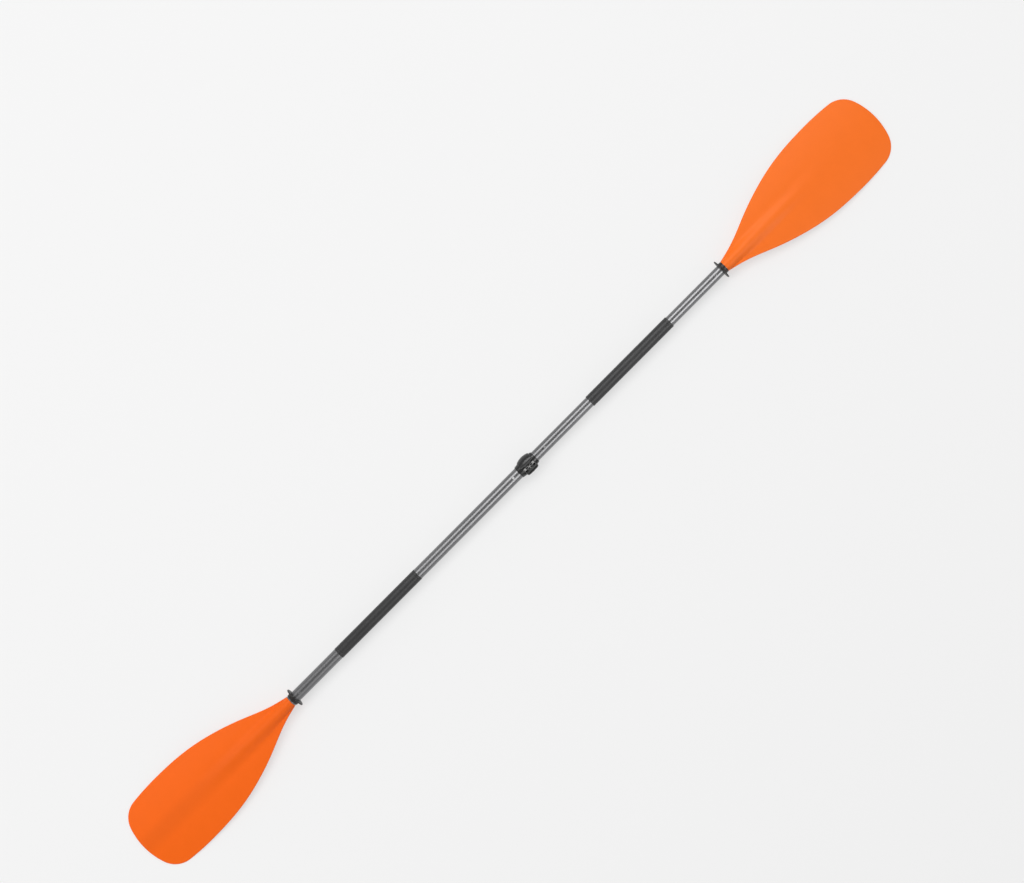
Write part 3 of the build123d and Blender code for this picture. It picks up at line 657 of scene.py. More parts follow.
def make_lever(material, sizes):
    """The cam lever: hulls of the handle's arc, its round tip and the cam, waisted above the arc,
    crowned along the shaft by f (x/w)^2 and rounded over at the sides, less the collar's barrel,
    the notches beside the root, the pin's bore and the slot that passes the screw."""
    low, high = ends("clamp_lever")
    half, edge = (high - low) / 2, LEVER_EDGE
    pivot = LEVER_PIVOT - Vector((LUG_X, 0, SHAFT_Z))
    cam = np.array((pivot.y, pivot.z)) - CAM_OFFSET * np.array((cos(LUG_TURN), sin(LUG_TURN)))
    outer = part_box("clamp_lever")[1].y
    place = np.concatenate([-half + edge * (1 - np.cos(np.linspace(0, pi / 2, 8))),
                            np.linspace(-half + edge, half - edge, 31)[1:-1],
                            half - edge * (1 - np.cos(np.linspace(pi / 2, 0, 8)))])
    short = np.clip((np.abs(place) - half + edge) / edge, 0, 1)
    fall = sizes.lever_crown * (place / half)**2 + edge * (1 - np.sqrt(1 - short**2))
    directions = np.linspace(-pi, pi, 900, endpoint=False)
    sections, count = [], 300
    for drop, x in zip(fall, place):
        skin = outer - drop
        reach = skin + LEVER_FLARE - LEVER_TIP
        tip = (reach * cos(LEVER_END), reach * sin(LEVER_END))
        hull = hull_outline([((0, 0), skin, (LEVER_END, LEVER_END + LEVER_ARC)), (cam, CAM_RADIUS, None),
                             (tip, LEVER_TIP, None)], directions)
        ring = spaced(waisted(hull, directions, skin, WAIST), count, closed=True)
        sections.append(np.column_stack([np.full(count, LUG_X + x), ring[:, 0], ring[:, 1] + SHAFT_Z]))
    made = shape("clamp_lever_surface", (np.concatenate(sections), closed_rounds(len(sections), count)))
    under = rod(barrel_line(LEVER_GAP), (0, 0, SHAFT_Z), ALONG, UP, 144)
    beside = softened([(-30 * MM, -MM), (NOTCH_EDGE, -MM), (NOTCH_EDGE, 40 * MM), (-30 * MM, 40 * MM)],
                      (0, 0.6 * MM, 0.6 * MM, 0))
    notches = [carried(beside, (LUG_X, 0, SHAFT_Z), SIDEWAYS, UP, (way, 0, 0), ROOT_HALF, 2 * half)
               for way in (-1, 1)]
    hole = PIN_RADIUS + PIN_ROOM
    bore = rod([(-2 * half, hole), (2 * half, hole)], LEVER_PIVOT, ALONG, UP, 64)
    slot_turn = LUG_TURN - LEVER_OPEN / 2
    side, up = (0, cos(slot_turn), sin(slot_turn)), (0, -sin(slot_turn), cos(slot_turn))
    slot = carried(box_outline(20 * MM, 40 * MM, centre=(LEVER_SLOT - 20 * MM, 0)), LEVER_PIVOT, side, up,
                   ALONG, -LEVER_SLOT, LEVER_SLOT)
    for cut in (under, *notches, bore, slot):
        combine(made, cut)
    break_edges(made, 0.4 * MM, 3)
    return finish_piece(made, "lever", material, "clamp_lever", sharp=40)


def make_barrel(material):
    """The cross barrel that the lever turns on, with eased ends and the screw's cross hole."""
    low, high = ends("lever_barrel")
    half, r, ease = (high - low) / 2, PIN_RADIUS, 0.5 * MM
    stations = [(-half, r - ease), (-half + 0.15 * MM, r - 0.3 * MM), (-half + ease, r), (half - ease, r),
                (half - 0.15 * MM, r - 0.3 * MM), (half, r - ease)]
    made = shape("lever_barrel_surface", rod(stations, LEVER_PIVOT, ALONG, UP, 72))
    cross = SCREW_RADIUS + 0.05 * MM
    combine(made, rod([(-8 * MM, cross), (8 * MM, cross)], LEVER_PIVOT, ROUND, ALONG, 48))
    return finish_piece(made, "outer_half", material, "lever_barrel", sharp=30)


def threaded(start, end, radius, pitch, depth, turns_per=48):
    """A screw's thread: r = R - depth (1 - |2 frac(s/pitch - a/2 pi) - 1|), closed at both ends."""
    rows = int((end - start) / pitch * 12)
    s = np.linspace(start, end, rows)[:, None]
    a = np.linspace(0, 2 * np.pi, turns_per, endpoint=False)[None, :]
    saw = np.abs(2 * ((s / pitch - a / (2 * pi)) % 1) - 1)
    r = radius - depth * saw * smoothstep(0, pitch, np.minimum(s - start, end - s))
    axis = np.array(ROUND)
    points = np.array(SCREW_PLACE) + s[..., None] * axis + r[..., None] * spokes(a, axis, ALONG)
    return points.reshape(-1, 3), closed_rounds(rows, turns_per)


def hexagon(across_flats):
    """Corners of a hexagon as an outline."""
    return across_flats / sqrt(3) * unit(np.arange(6) * pi / 3)


def make_clamp_screw(material):
    """The tension screw: a knurled socket head and a threaded shank that runs into the barrel."""
    seat = -LUG_HALF + RECESS - WASHER - 0.05 * MM
    top, r, knurls, knurl = seat - HEAD_HEIGHT, HEAD_RADIUS, 72, 0.09 * MM
    a = np.linspace(0, 2 * np.pi, 2 * knurls, endpoint=False)
    stations = np.array([(top, r - 0.7 * MM), (top + 0.2 * MM, r - 0.3 * MM), (top + 0.6 * MM, r),
                         (seat - 0.4 * MM, r), (seat, r - 0.2 * MM)])
    cut = np.array([0, 0, knurl, knurl, 0])[:, None] * (np.arange(2 * knurls) % 2)[None, :]
    axis = np.array(ROUND)
    points = (np.array(SCREW_PLACE) + stations[:, None, :1] * axis
              + (stations[:, 1:] - cut)[..., None] * spokes(a, axis, ALONG))
    made = shape("clamp_screw_surface", (points.reshape(-1, 3), closed_rounds(*points.shape[:2])))
    tip = (LEVER_PIVOT - SCREW_PLACE).dot(ROUND) + 2.2 * MM
    combine(made, threaded(seat - 0.5 * MM, tip, SCREW_RADIUS, pitch=0.8 * MM, depth=0.3 * MM), "UNION")
    socket = carried(hexagon(3 * MM), SCREW_PLACE, ALONG, OUT, ROUND, top - MM, top + 1.8 * MM)
    combine(made, socket)
    return finish_piece(made, "outer_half", material, "clamp_screw", sharp=30)


def make_washer(material):
    """A flat washer under the tension screw's head."""
    face = -LUG_HALF + RECESS
    corners = [(face - WASHER, SCREW_HOLE), (face - WASHER, WASHER_RADIUS), (face, WASHER_RADIUS),
               (face, SCREW_HOLE)]
    surface = turned_about(softened(corners, 0.15 * MM, 3), SCREW_PLACE, ROUND, ALONG, 64)
    return piece("screw_washer", surface, "outer_half", material)


def make_cam_plate(material):
    """The plate that the cam bears on, with its screw hole."""
    outline = box_outline(8 * MM, 4 * MM, 1.2 * MM)
    face, spine_shade = LUG_HALF + 0.05 * MM, 0.8 * MM
    made = shape("cam_plate_surface",
                 carried(outline, SCREW_PLACE, ALONG, OUT, ROUND, face, face + spine_shade))
    combine(made, rod([(0, SCREW_HOLE), (12 * MM, SCREW_HOLE)], SCREW_PLACE, ROUND, ALONG, 48))
    break_edges(made, 0.12 * MM)
    return finish_piece(made, "outer_half", material, "cam_plate", sharp=30)


def make_collar_screw(material):
    """The small screw in the closed ring: a domed head with a cross recess."""
    low, high = height("collar_screw")
    place = (COLLAR_START + FLANGE / 2, 0, high)
    depth, r, soft = high - low, SMALL_HEAD, 0.65 * MM
    seat = depth - SMALL_HEIGHT
    turn = np.linspace(0, pi / 2, 8)
    dome = np.stack([depth - soft * (1 - np.sin(turn)), r - soft * (1 - np.cos(turn))], axis=-1)
    stations = np.concatenate([[(0, SMALL_SHANK - 0.2 * MM), (0.3 * MM, SMALL_SHANK), (seat, SMALL_SHANK),
                                (seat + STEP, r)], dome])
    made = shape("collar_screw_surface", rod(stations, place, (0, 0, -1), ALONG, 48))
    arm, blade = 1.4 * MM, 0.3 * MM
    for right, up in ((arm, blade), (blade, arm)):
        bar = box_outline(right, up)
        combine(made, carried(bar, place, ALONG, SIDEWAYS, (0, 0, -1), depth - soft, depth + MM))
    return finish_piece(made, "outer_half", material, "collar_screw", sharp=30)


# ---------------------------------------------------------------- shader building

def add(tree, kind, inputs=None, **settings):
    """Adds a node with its settings; an input is another node's socket or a plain value."""
    made = tree.nodes.new(kind)
    for name, value in settings.items():
        setattr(made, name, value)
    for name, value in (inputs or {}).items():
        if isinstance(value, bpy.types.NodeSocket):
            tree.links.new(value, made.inputs[name])
        else:
            made.inputs[name].default_value = value
    return made


def maths(tree, operation, first, second=0.0, third=None, clamp=False):
    """The result of a Math node."""
    inputs = {0: first, 1: second} if third is None else {0: first, 1: second, 2: third}
    return add(tree, "ShaderNodeMath", inputs, operation=operation, use_clamp=clamp).outputs[0]


def between(tree, factor, low, high):
    """A value that runs from low to high with the factor."""
    given = {"Value": factor, "To Min": low, "To Max": high}
    return add(tree, "ShaderNodeMapRange", given).outputs["Result"]


def mixed(tree, factor, first, second):
    """A colour that runs from the first to the second with the factor."""
    blend = add(tree, "ShaderNodeMix", {0: factor, 6: first, 7: second}, data_type="RGBA")
    return blend.outputs[2]


def here(tree, stretch=(1, 1, 1)):
    """The piece's own coordinates, stretched."""
    place = add(tree, "ShaderNodeTexCoord").outputs["Object"]
    return add(tree, "ShaderNodeMapping", {"Vector": place, "Scale": stretch}).outputs["Vector"]


def apart(tree):
    """The piece's own coordinates as separate X, Y and Z."""
    place = add(tree, "ShaderNodeTexCoord").outputs["Object"]
    return add(tree, "ShaderNodeSeparateXYZ", {0: place}).outputs


def rising(tree, value, start, end, curve="LINEAR"):
    """0 where a value is at the start, 1 where it is at the end, and between on the way."""
    inputs = {"Value": value, "From Min": start, "From Max": end}
    return add(tree, "ShaderNodeMapRange", inputs, interpolation_type=curve).outputs["Result"]


def noise(tree, vector, scale, detail=2.0, roughness=0.5):
    """A noise value from 0 to 1."""
    inputs = {"Vector": vector, "Scale": scale, "Detail": detail, "Roughness": roughness}
    return add(tree, "ShaderNodeTexNoise", inputs).outputs[0]


def new_group(name, inputs, outputs):
    """An empty node group with named inputs (and their defaults) and outputs."""
    group = bpy.data.node_groups.new(name, "ShaderNodeTree")
    for label, kind, value in inputs:
        socket = group.interface.new_socket(label, in_out="INPUT", socket_type=kind)
        if value is not None:
            socket.default_value = value
    for label, kind in outputs:
        group.interface.new_socket(label, in_out="OUTPUT", socket_type=kind)
    return group, group.nodes.new("NodeGroupInput").outputs, group.nodes.new("NodeGroupOutput").inputs


VALUE = "NodeSocketFloat"


def moulded_grain_group():
    """Fine pebbled grain of a moulding, with broad soft waves under it, as a height and a mottle."""
    tree, given, result = new_group(
        "moulded grain", [("Scale", VALUE, 1500.0), ("Waves", VALUE, 0.4)],
        [("Height", VALUE), ("Mottle", VALUE)])
    place = here(tree)
    fine = noise(tree, place, given["Scale"], 3.0, 0.6)
    waves = noise(tree, place, 9.0, 2.0)
    tree.links.new(maths(tree, "MULTIPLY_ADD", waves, given["Waves"], fine), result["Height"])
    tree.links.new(between(tree, noise(tree, place, 28.0, 4.0, 0.6), 0.0, 1.0), result["Mottle"])
    return tree


def handling_marks_group():
    """Sparse fine scratches in two directions, broken up so that they come in patches, as a mask."""
    tree, given, result = new_group(
        "handling marks", [("Amount", VALUE, 0.3), ("Fineness", VALUE, 60.0)], [("Mask", VALUE)])
    masks = []
    for stretch in ((1, 9, 4), (7, 1, 4)):
        lines = noise(tree, here(tree, stretch), given["Fineness"], 6.0, 0.75)
        masks.append(rising(tree, lines, 0.69, 0.76))
    either = maths(tree, "MAXIMUM", *masks)
    where = rising(tree, noise(tree, here(tree), 14.0, 2.0), 0.48, 0.68)
    amount = maths(tree, "MULTIPLY", maths(tree, "MULTIPLY", either, where), given["Amount"], clamp=True)
    tree.links.new(amount, result["Mask"])
    return tree


def drawn_lines_group():
    """The long fine lines that drawing leaves along a tube, as a height and a mottle."""
    tree, given, result = new_group(
        "drawn lines", [("Scale", VALUE, 2500.0)], [("Height", VALUE), ("Mottle", VALUE)])
    lines = noise(tree, here(tree, (0.004, 1, 1)), given["Scale"], 2.0, 0.6)
    broad = noise(tree, here(tree, (0.05, 1, 1)), 220.0, 3.0, 0.6)
    tree.links.new(lines, result["Height"])
    tree.links.new(broad, result["Mottle"])
    return tree


def printed_mark_group():
    """A printed patch on top of the shaft: 1 within the half length and half width of its middle."""
    tree, given, result = new_group(
        "printed mark",
        [("Middle", VALUE, 0.0), ("Half Length", VALUE, 0.003), ("Half Width", VALUE, 0.002)],
        [("Mask", VALUE)])
    place = apart(tree)
    along = maths(tree, "ABSOLUTE", maths(tree, "SUBTRACT", place["X"], given["Middle"]))
    within = maths(tree, "LESS_THAN", along, given["Half Length"])
    narrow = maths(tree, "LESS_THAN", maths(tree, "ABSOLUTE", place["Y"]), given["Half Width"])
    upper = maths(tree, "GREATER_THAN", place["Z"], SHAFT_Z)
    mask = maths(tree, "MULTIPLY", maths(tree, "MULTIPLY", within, narrow), upper)
    tree.links.new(mask, result["Mask"])
    return tree


def shared(make):
    """The node group that a function makes, built once."""
    name = make.__name__.replace("_group", "").replace("_", " ")
    return bpy.data.node_groups.get(name) or make()


def placed(tree, make, **values):
    """A shared group placed in a material with its own values; returns its outputs."""
    node = add(tree, "ShaderNodeGroup", node_tree=shared(make))
    for name, value in values.items():
        node.inputs[name.replace("_", " ")].default_value = value
    return node.outputs


def principled(name, **constants):
    """A new material with a Principled BSDF whose plain values are set on its own sockets."""
    material = bpy.data.materials.new(name)
    material.use_nodes = True
    tree = material.node_tree
    shader = tree.nodes["Principled BSDF"]
    for label, value in constants.items():
        shader.inputs[label.replace("_", " ")].default_value = value
    return material, tree, shader


def bumped(tree, shader, height_value, strength, distance):
    """Joins a height to the shader's Normal through a Bump node."""
    bump = add(tree, "ShaderNodeBump",
               {"Height": height_value, "Strength": strength, "Distance": distance})
    tree.links.new(bump.outputs["Normal"], shader.inputs["Normal"])


def paint(tree, shader, label, socket):
    """Joins a socket to one of the shader's inputs."""
    tree.links.new(socket, shader.inputs[label])


def surface_finish(name, **constants):
    """Turns a function that dresses a shader into one that gives the material of that name, which
    is made the first time it is asked for."""
    def with_dress(dress):
        @wraps(dress)
        def made():
            found = bpy.data.materials.get(name)
            if not found:
                found, tree, shader = principled(name, **constants)
                dress(tree, shader)
            return found
        return made
    return with_dress


# ---------------------------------------------------------------- finishes

def finish_settings():
    """The colours that the panel shows."""
    return bpy.context.scene.paddle_finish


def full(shade):
    """A colour with its alpha of 1, as sockets take it."""
    return tuple(shade) + (1.0,)


def grey(shade):
    """A neutral colour."""
    return (shade, shade, shade, 1.0)


@surface_finish("blade plastic", Specular_IOR_Level=0.2)
def blade_plastic(tree, shader):
    """Satin moulded polypropylene: faint mottle, pebbled skin, pale hairline scratches. The colour is
    painted lighter and yellower towards the inner half's blade, painted light for the brighter light at
    that end, and the outer half's blade has a painted shade along its middle, the spine's shading."""
    # painted light: the inner end's tone is lighter and yellower, standing for the brighter light at that
    # end
    outer_end_tone, lit_end_tone = full(finish_settings().blade_colour), full(finish_settings().faded_colour)
    scratched = (0.96, 0.34, 0.16, 1.0)
    grain = placed(tree, moulded_grain_group, Scale=1700.0, Waves=0.25)
    marks = placed(tree, handling_marks_group, Amount=0.28, Fineness=45.0)
    place = apart(tree)
    # painted light: runs from 0 at the outer end to 1 at the inner end, where the light is brighter
    towards_lit_end = rising(tree, place["X"], -0.5, 0.5)
    # painted shade: a darker band along the middle of the outer half's blade, the shading of its spine,
    # fading out towards the inner end
    middle = rising(tree, maths(tree, "ABSOLUTE", place["Y"]), 0.032, 0.004, "SMOOTHSTEP")
    spine_shade = maths(tree, "MULTIPLY", middle, maths(tree, "SUBTRACT", 1.0, towards_lit_end))
    spine_shade_scale = maths(tree, "MULTIPLY_ADD", spine_shade, -0.07, 0.975)
    shade = maths(tree, "MULTIPLY_ADD", grain["Mottle"], 0.05, spine_shade_scale)
    # painted light: the colour turns to the lighter, yellower tone towards the inner end
    plain = mixed(tree, towards_lit_end, outer_end_tone, lit_end_tone)
    body = add(tree, "ShaderNodeVectorMath", {0: plain, 3: shade}, operation="SCALE").outputs[0]
    paint(tree, shader, "Base Color", mixed(tree, marks["Mask"], body, scratched))
    paint(tree, shader, "Roughness", between(tree, grain["Mottle"], 0.40, 0.54))
    bumped(tree, shader, grain["Height"], 0.22, 0.0002)


def anodised_tube(name, marks=()):
    """Satin anodised aluminium with drawn lines along it and small printed marks on top."""
    @surface_finish(name)
    def metal_skin(tree, shader):
        bright = finish_settings().tube_colour
        dull, scratched = full(part * 0.82 for part in bright), (0.55, 0.55, 0.56, 1.0)
        drawn = placed(tree, drawn_lines_group, Scale=2600.0)
        scratches = placed(tree, handling_marks_group, Amount=0.35, Fineness=90.0)
        body = mixed(tree, drawn["Mottle"], dull, full(bright))
        body = mixed(tree, scratches["Mask"], body, scratched)
        metal = 1.0
        rough = between(tree, drawn["Mottle"], 0.24, 0.36)
        for middle, half_length, half_width, ink in marks:
            mask = placed(tree, printed_mark_group, Middle=middle, Half_Length=half_length,
                          Half_Width=half_width)["Mask"]
            body = mixed(tree, mask, body, ink)
            metal = maths(tree, "MULTIPLY", metal, maths(tree, "SUBTRACT", 1.0, mask))
            rough = maths(tree, "MAXIMUM", rough, maths(tree, "MULTIPLY", mask, 0.5))
        paint(tree, shader, "Base Color", body)
        if marks:
            paint(tree, shader, "Metallic", metal)
        else:
            shader.inputs["Metallic"].default_value = metal
        paint(tree, shader, "Roughness", rough)
        bumped(tree, shader, drawn["Height"], 0.12, 0.00008)
    return metal_skin()


def soft_rubber(name, colour, grain_scale, depth):
    """Matte rubber with a fine skin and slightly shiny worn patches."""
    @surface_finish(name, Specular_IOR_Level=0.45)
    def rubber_skin(tree, shader):
        worn = full(part * 1.5 for part in colour)
        grain = placed(tree, moulded_grain_group, Scale=grain_scale, Waves=0.3)
        marks = placed(tree, handling_marks_group, Amount=0.4, Fineness=70.0)
        skin = mixed(tree, grain["Mottle"], full(colour), worn)
        paint(tree, shader, "Base Color", mixed(tree, marks["Mask"], skin, grey(0.14)))
        paint(tree, shader, "Roughness", between(tree, grain["Mottle"], 0.33, 0.48))
        bumped(tree, shader, grain["Height"], 0.35, depth)
    return rubber_skin()


@surface_finish("clamp plastic", Specular_IOR_Level=0.6)
def clamp_plastic(tree, shader):
    """Satin black nylon with a spark-eroded grain and pale rubbed spots."""
    black, rubbed = full(finish_settings().clamp_colour), (0.11, 0.11, 0.115, 1.0)
    grain = placed(tree, moulded_grain_group, Scale=3600.0, Waves=0.1)
    marks = placed(tree, handling_marks_group, Amount=0.5, Fineness=160.0)
    paint(tree, shader, "Base Color", mixed(tree, marks["Mask"], black, rubbed))
    paint(tree, shader, "Roughness", between(tree, grain["Mottle"], 0.17, 0.27))
    bumped(tree, shader, grain["Height"], 0.035, 0.0001)


@surface_finish("plated steel", Metallic=1.0)
def plated_steel(tree, shader):
    """Bright plated steel with fine turning lines and a little dulling."""
    dull, bright = (0.20, 0.20, 0.196, 1.0), (0.30, 0.30, 0.295, 1.0)
    drawn = placed(tree, drawn_lines_group, Scale=5200.0)
    paint(tree, shader, "Base Color", mixed(tree, drawn["Mottle"], dull, bright))
    paint(tree, shader, "Roughness", between(tree, drawn["Mottle"], 0.22, 0.38))
    bumped(tree, shader, drawn["Height"], 0.08, 0.00004)


@surface_finish("rivet aluminium", Metallic=1.0)
def rivet_aluminium(tree, shader):
    """Plain aluminium with a dull mottled skin."""
    dull, bright = (0.22, 0.22, 0.225, 1.0), (0.28, 0.28, 0.285, 1.0)
    grain = placed(tree, moulded_grain_group, Scale=2400.0, Waves=0.0)
    paint(tree, shader, "Base Color", mixed(tree, grain["Mottle"], dull, bright))
    paint(tree, shader, "Roughness", between(tree, grain["Mottle"], 0.3, 0.5))
    bumped(tree, shader, grain["Height"], 0.2, 0.00006)


@surface_finish("plug plastic", Specular_IOR_Level=0.4)
def plug_plastic(tree, shader):
    """Dark grey moulded plastic."""
    grain = placed(tree, moulded_grain_group, Scale=2200.0, Waves=0.2)
    paint(tree, shader, "Base Color", mixed(tree, grain["Mottle"], grey(0.12), grey(0.18)))
    paint(tree, shader, "Roughness", between(tree, grain["Mottle"], 0.45, 0.6))
    bumped(tree, shader, grain["Height"], 0.25, 0.0001)


@surface_finish("foam", Specular_IOR_Level=0.2)
def closed_foam(tree, shader):
    """Closed-cell foam: small cells with rounded walls."""
    foam = add(tree, "ShaderNodeTexVoronoi", {"Vector": here(tree), "Scale": 900.0})
    cells = foam.outputs["Distance"]
    paint(tree, shader, "Base Color", mixed(tree, cells, grey(0.20), grey(0.34)))
    paint(tree, shader, "Roughness", between(tree, cells, 0.75, 0.95))
    bumped(tree, shader, cells, 0.6, 0.0006)


# ---------------------------------------------------------------- settings

def length(name, description, default):
    """A size in metres."""
    return FloatProperty(name=name, description=description, default=default, min=0.0, unit="LENGTH",
                         precision=5)


def colour(name, description, default):
    """A linear colour."""
    return FloatVectorProperty(name=name, description=description, default=default, size=3,
                               min=0.0, max=1.0, subtype="COLOR")


class PaddleSizes(PropertyGroup):
    """Sizes of the visible surfaces that the frame's boxes don't give."""
    spigot: length("Spigot", "Length of the blade's spigot inside the tube", 0.080)
    neck_step: length("Neck step", "Blade's neck beyond the outer tube, on the radius", 0.00025)
    tip_bow: length("Tip bow", "Rise of the blade's tip at its middle", 0.024)
    tip_corner: length("Tip corner", "Radius of the tip's corners", 0.055)
    spoon: length("Spoon radius", "Bend along the blade", 4.278)
    arch: length("Arch radius", "Bend across the blade", 0.645)
    sheet_middle: length("Sheet middle", "Thickness of the blade at its middle", 0.0042)
    sheet_edge: length("Sheet edge", "Thickness of the blade at its rim", 0.0026)
    spine_length: length("Spine length", "How far the spine runs from the neck", 0.345)
    groove: length("Spine groove", "Depth of the hollow beside the spine", 0.0003)
    grip_groove_inset: length("Grip groove", "Groove's place from the grip's end", 0.007)
    ring_root: length("Ring root", "Drip ring's thickness at its root", 0.0042)
    ring_rim: length("Ring rim", "Drip ring's thickness at its rim", 0.0026)
    ring_hub_wall: length("Ring hub", "Thickness of the drip ring's hub", 0.0012)
    lever_crown: length("Lever crown", "Fall of the lever's outer face to its sides", 0.0034)


class PaddleFinish(PropertyGroup):
    """Colours of the finishes."""
    blade_colour: colour("Blades", "Moulded blade plastic of the outer half", (0.935, 0.134, 0.002))
    # painted light: the inner half's blade tone is lighter and yellower for the brighter light at that end
    faded_colour: colour("Faded blade", "The same plastic of the inner half, which has had more sun",
                         (0.925, 0.164, 0.008))
    tube_colour: colour("Tubes", "Anodised aluminium", (0.235, 0.235, 0.24))
    grip_colour: colour("Grips", "Grip rubber", (0.016, 0.016, 0.0165))
    ring_colour: colour("Drip rings", "Ring rubber", (0.008, 0.008, 0.008))
    clamp_colour: colour("Clamp", "Collar and lever plastic", (0.008, 0.008, 0.0084))


def share(name, description, default):
    """A share from 0 to 1."""
    return FloatProperty(name=name, description=description, default=default, min=0.0, max=1.0,
                         subtype="FACTOR")


def strength(name, description, default):
    """How bright a light is."""
    return FloatProperty(name=name, description=description, default=default, min=0.0)


def angle(name, description, default):
    """An angle in radians."""
    return FloatProperty(name=name, description=description, default=default, subtype="ANGLE")


class PaddleStage(PropertyGroup):
    """Floor, light and camera."""
    floor_shade: share("Floor", "Shade of the floor and background", 0.905)
    floor_glow: share("Floor glow", "Share of the floor's shade that no shadow darkens", 0.66)
    fill: strength("Fill", "Strength of the soft light from straight above", 0.36)
    low_fill: strength("Low fill", "Strength of the soft light from the sides", 0.62)
    key: strength("Key", "Brightness of the soft lamp that throws the shadow", 2.6)
    strips: strength("Strips", "Brightness of the strips that the shaft reflects", 2.5)
    lens: FloatProperty(name="Lens", description="Focal length of the camera", default=85.0, unit="CAMERA")
    distance: length("Distance", "Camera to the middle of the view", 5.373)
    aim: FloatVectorProperty(name="Aim", description="Where the middle of the view is, along and across",
                             default=(75.6 * MM, 59.8 * MM), size=2, subtype="TRANSLATION", unit="LENGTH")
    roll: angle("Roll", "Turn of the view past 45 degrees", 0.0019)
    tilt: angle("Tilt", "Camera's lean from straight above, towards +X", radians(1.66))


# ---------------------------------------------------------------- operators

# plain printed marks beside the clamp: the middle's x, half length, half width and colour of each
OUTER_MARKS = ((CLAMP_X - 42 * MM, 2.0 * MM, 2.4 * MM, grey(0.62)),)
INNER_MARKS = ((CLAMP_X + 55 * MM, 3.5 * MM, 2.0 * MM, grey(0.22)),
               (CLAMP_X + 51 * MM, 2.2 * MM, 2.2 * MM, grey(0.03)))


class PADDLE_OT_blades(Operator):
    """Make both spoon blades"""
    bl_idname = "paddle.blades"
    bl_label = "Blades"
    bl_options = {"REGISTER", "UNDO"}

    def execute(self, context):
        sizes = context.scene.paddle_sizes
        room = TUBE_WALL + SLIP
        make_blade("outer_blade", OUTER_RADIUS - room, "outer_half", blade_plastic(), sizes)
        make_blade("inner_blade", INNER_RADIUS - room, "inner_half", blade_plastic(), sizes)
        return {"FINISHED"}


class PADDLE_OT_tubes(Operator):
    """Make the two halves of the shaft with their rivets"""
    bl_idname = "paddle.tubes"
    bl_label = "Tubes and rivets"
    bl_options = {"REGISTER", "UNDO"}

    def execute(self, context):
        outer_metal = anodised_tube("outer tube metal", OUTER_MARKS)
        inner_metal = anodised_tube("inner tube metal", INNER_MARKS)
        make_tube("outer_tube", OUTER_RADIUS, "outer_rivets", "outer_half", outer_metal, tube_slots())
        make_tube("inner_tube", INNER_RADIUS, "inner_rivets", "inner_half", inner_metal)
        make_rivets("outer_rivets", OUTER_RADIUS, "outer_half", rivet_aluminium())
        make_rivets("inner_rivets", INNER_RADIUS, "inner_half", rivet_aluminium())
        return {"FINISHED"}


class PADDLE_OT_grips(Operator):
    """Make the two rubber grips"""
    bl_idname = "paddle.grips"
    bl_label = "Grips"
    bl_options = {"REGISTER", "UNDO"}

    def execute(self, context):
        sizes = context.scene.paddle_sizes
        rubber = soft_rubber("grip rubber", context.scene.paddle_finish.grip_colour, 1300.0, 0.00025)
        make_grip("outer_grip", OUTER_RADIUS, "outer_half", rubber, sizes)
        make_grip("inner_grip", INNER_RADIUS, "inner_half", rubber, sizes)
        return {"FINISHED"}


class PADDLE_OT_rings(Operator):
    """Make the two drip rings"""
    bl_idname = "paddle.rings"
    bl_label = "Drip rings"
    bl_options = {"REGISTER", "UNDO"}

    def execute(self, context):
        sizes = context.scene.paddle_sizes
        rubber = soft_rubber("ring rubber", context.scene.paddle_finish.ring_colour, 2400.0, 0.0001)
        make_drip_ring("outer_drip_ring", OUTER_RADIUS, "outer_ring", rubber, sizes)
        make_drip_ring("inner_drip_ring", INNER_RADIUS, "inner_ring", rubber, sizes)
        return {"FINISHED"}


class PADDLE_OT_plugs(Operator):
    """Make the inner tube's end plug and the foam plugs"""
    bl_idname = "paddle.plugs"
    bl_label = "Plugs"
    bl_options = {"REGISTER", "UNDO"}

    def execute(self, context):
        make_end_plug(plug_plastic())
        make_foam_plug("outer_foam_plug", "outer_half", closed_foam())
        make_foam_plug("inner_foam_plug", "inner_half", closed_foam())
        return {"FINISHED"}


class PADDLE_OT_collar(Operator):
    """Make the clamp's collar"""
    bl_idname = "paddle.collar"
    bl_label = "Clamp collar"
    bl_options = {"REGISTER", "UNDO"}

    def execute(self, context):
        make_collar(clamp_plastic())
        return {"FINISHED"}


class PADDLE_OT_lever(Operator):
    """Make the clamp's cam lever"""
    bl_idname = "paddle.lever"
    bl_label = "Cam lever"
    bl_options = {"REGISTER", "UNDO"}

    def execute(self, context):
        make_lever(clamp_plastic(), context.scene.paddle_sizes)
        return {"FINISHED"}


class PADDLE_OT_metalwork(Operator):
    """Make the clamp's screws, washer, plate and cross barrel"""
    bl_idname = "paddle.metalwork"
    bl_label = "Clamp metalwork"
    bl_options = {"REGISTER", "UNDO"}

    def execute(self, context):
        steel = plated_steel()
        for part in (make_barrel, make_clamp_screw, make_washer, make_cam_plate, make_collar_screw):
            part(steel)
        return {"FINISHED"}


KEY_TURN, KEY_WIDTH, KEY_HALF, KEY_AWAY = radians(22), 3.5, 6.0, 6.0
STRIP_WIDTH, STRIP_AWAY = 1.5, 3.0
STRIP_TURNS = (("left", radians(40)), ("right", radians(-41)))
# the parts of a strip: each one's share of its brightness, and its start and end along the shaft
STRIP_PARTS = (("far", 0.2, -3.0, -0.85), ("middle", 0.9, -0.85, 0.1), ("near", 1.4, 0.1, 3.0))
FLOOR_HALF = 30.0


def facing(place, right, up, back):
    """The matrix of an object at a place, with its own X, Y and Z along the three directions."""
    turn = Matrix((tuple(right), tuple(up), tuple(back))).transposed()
    return Matrix.Translation(place) @ turn.to_4x4()


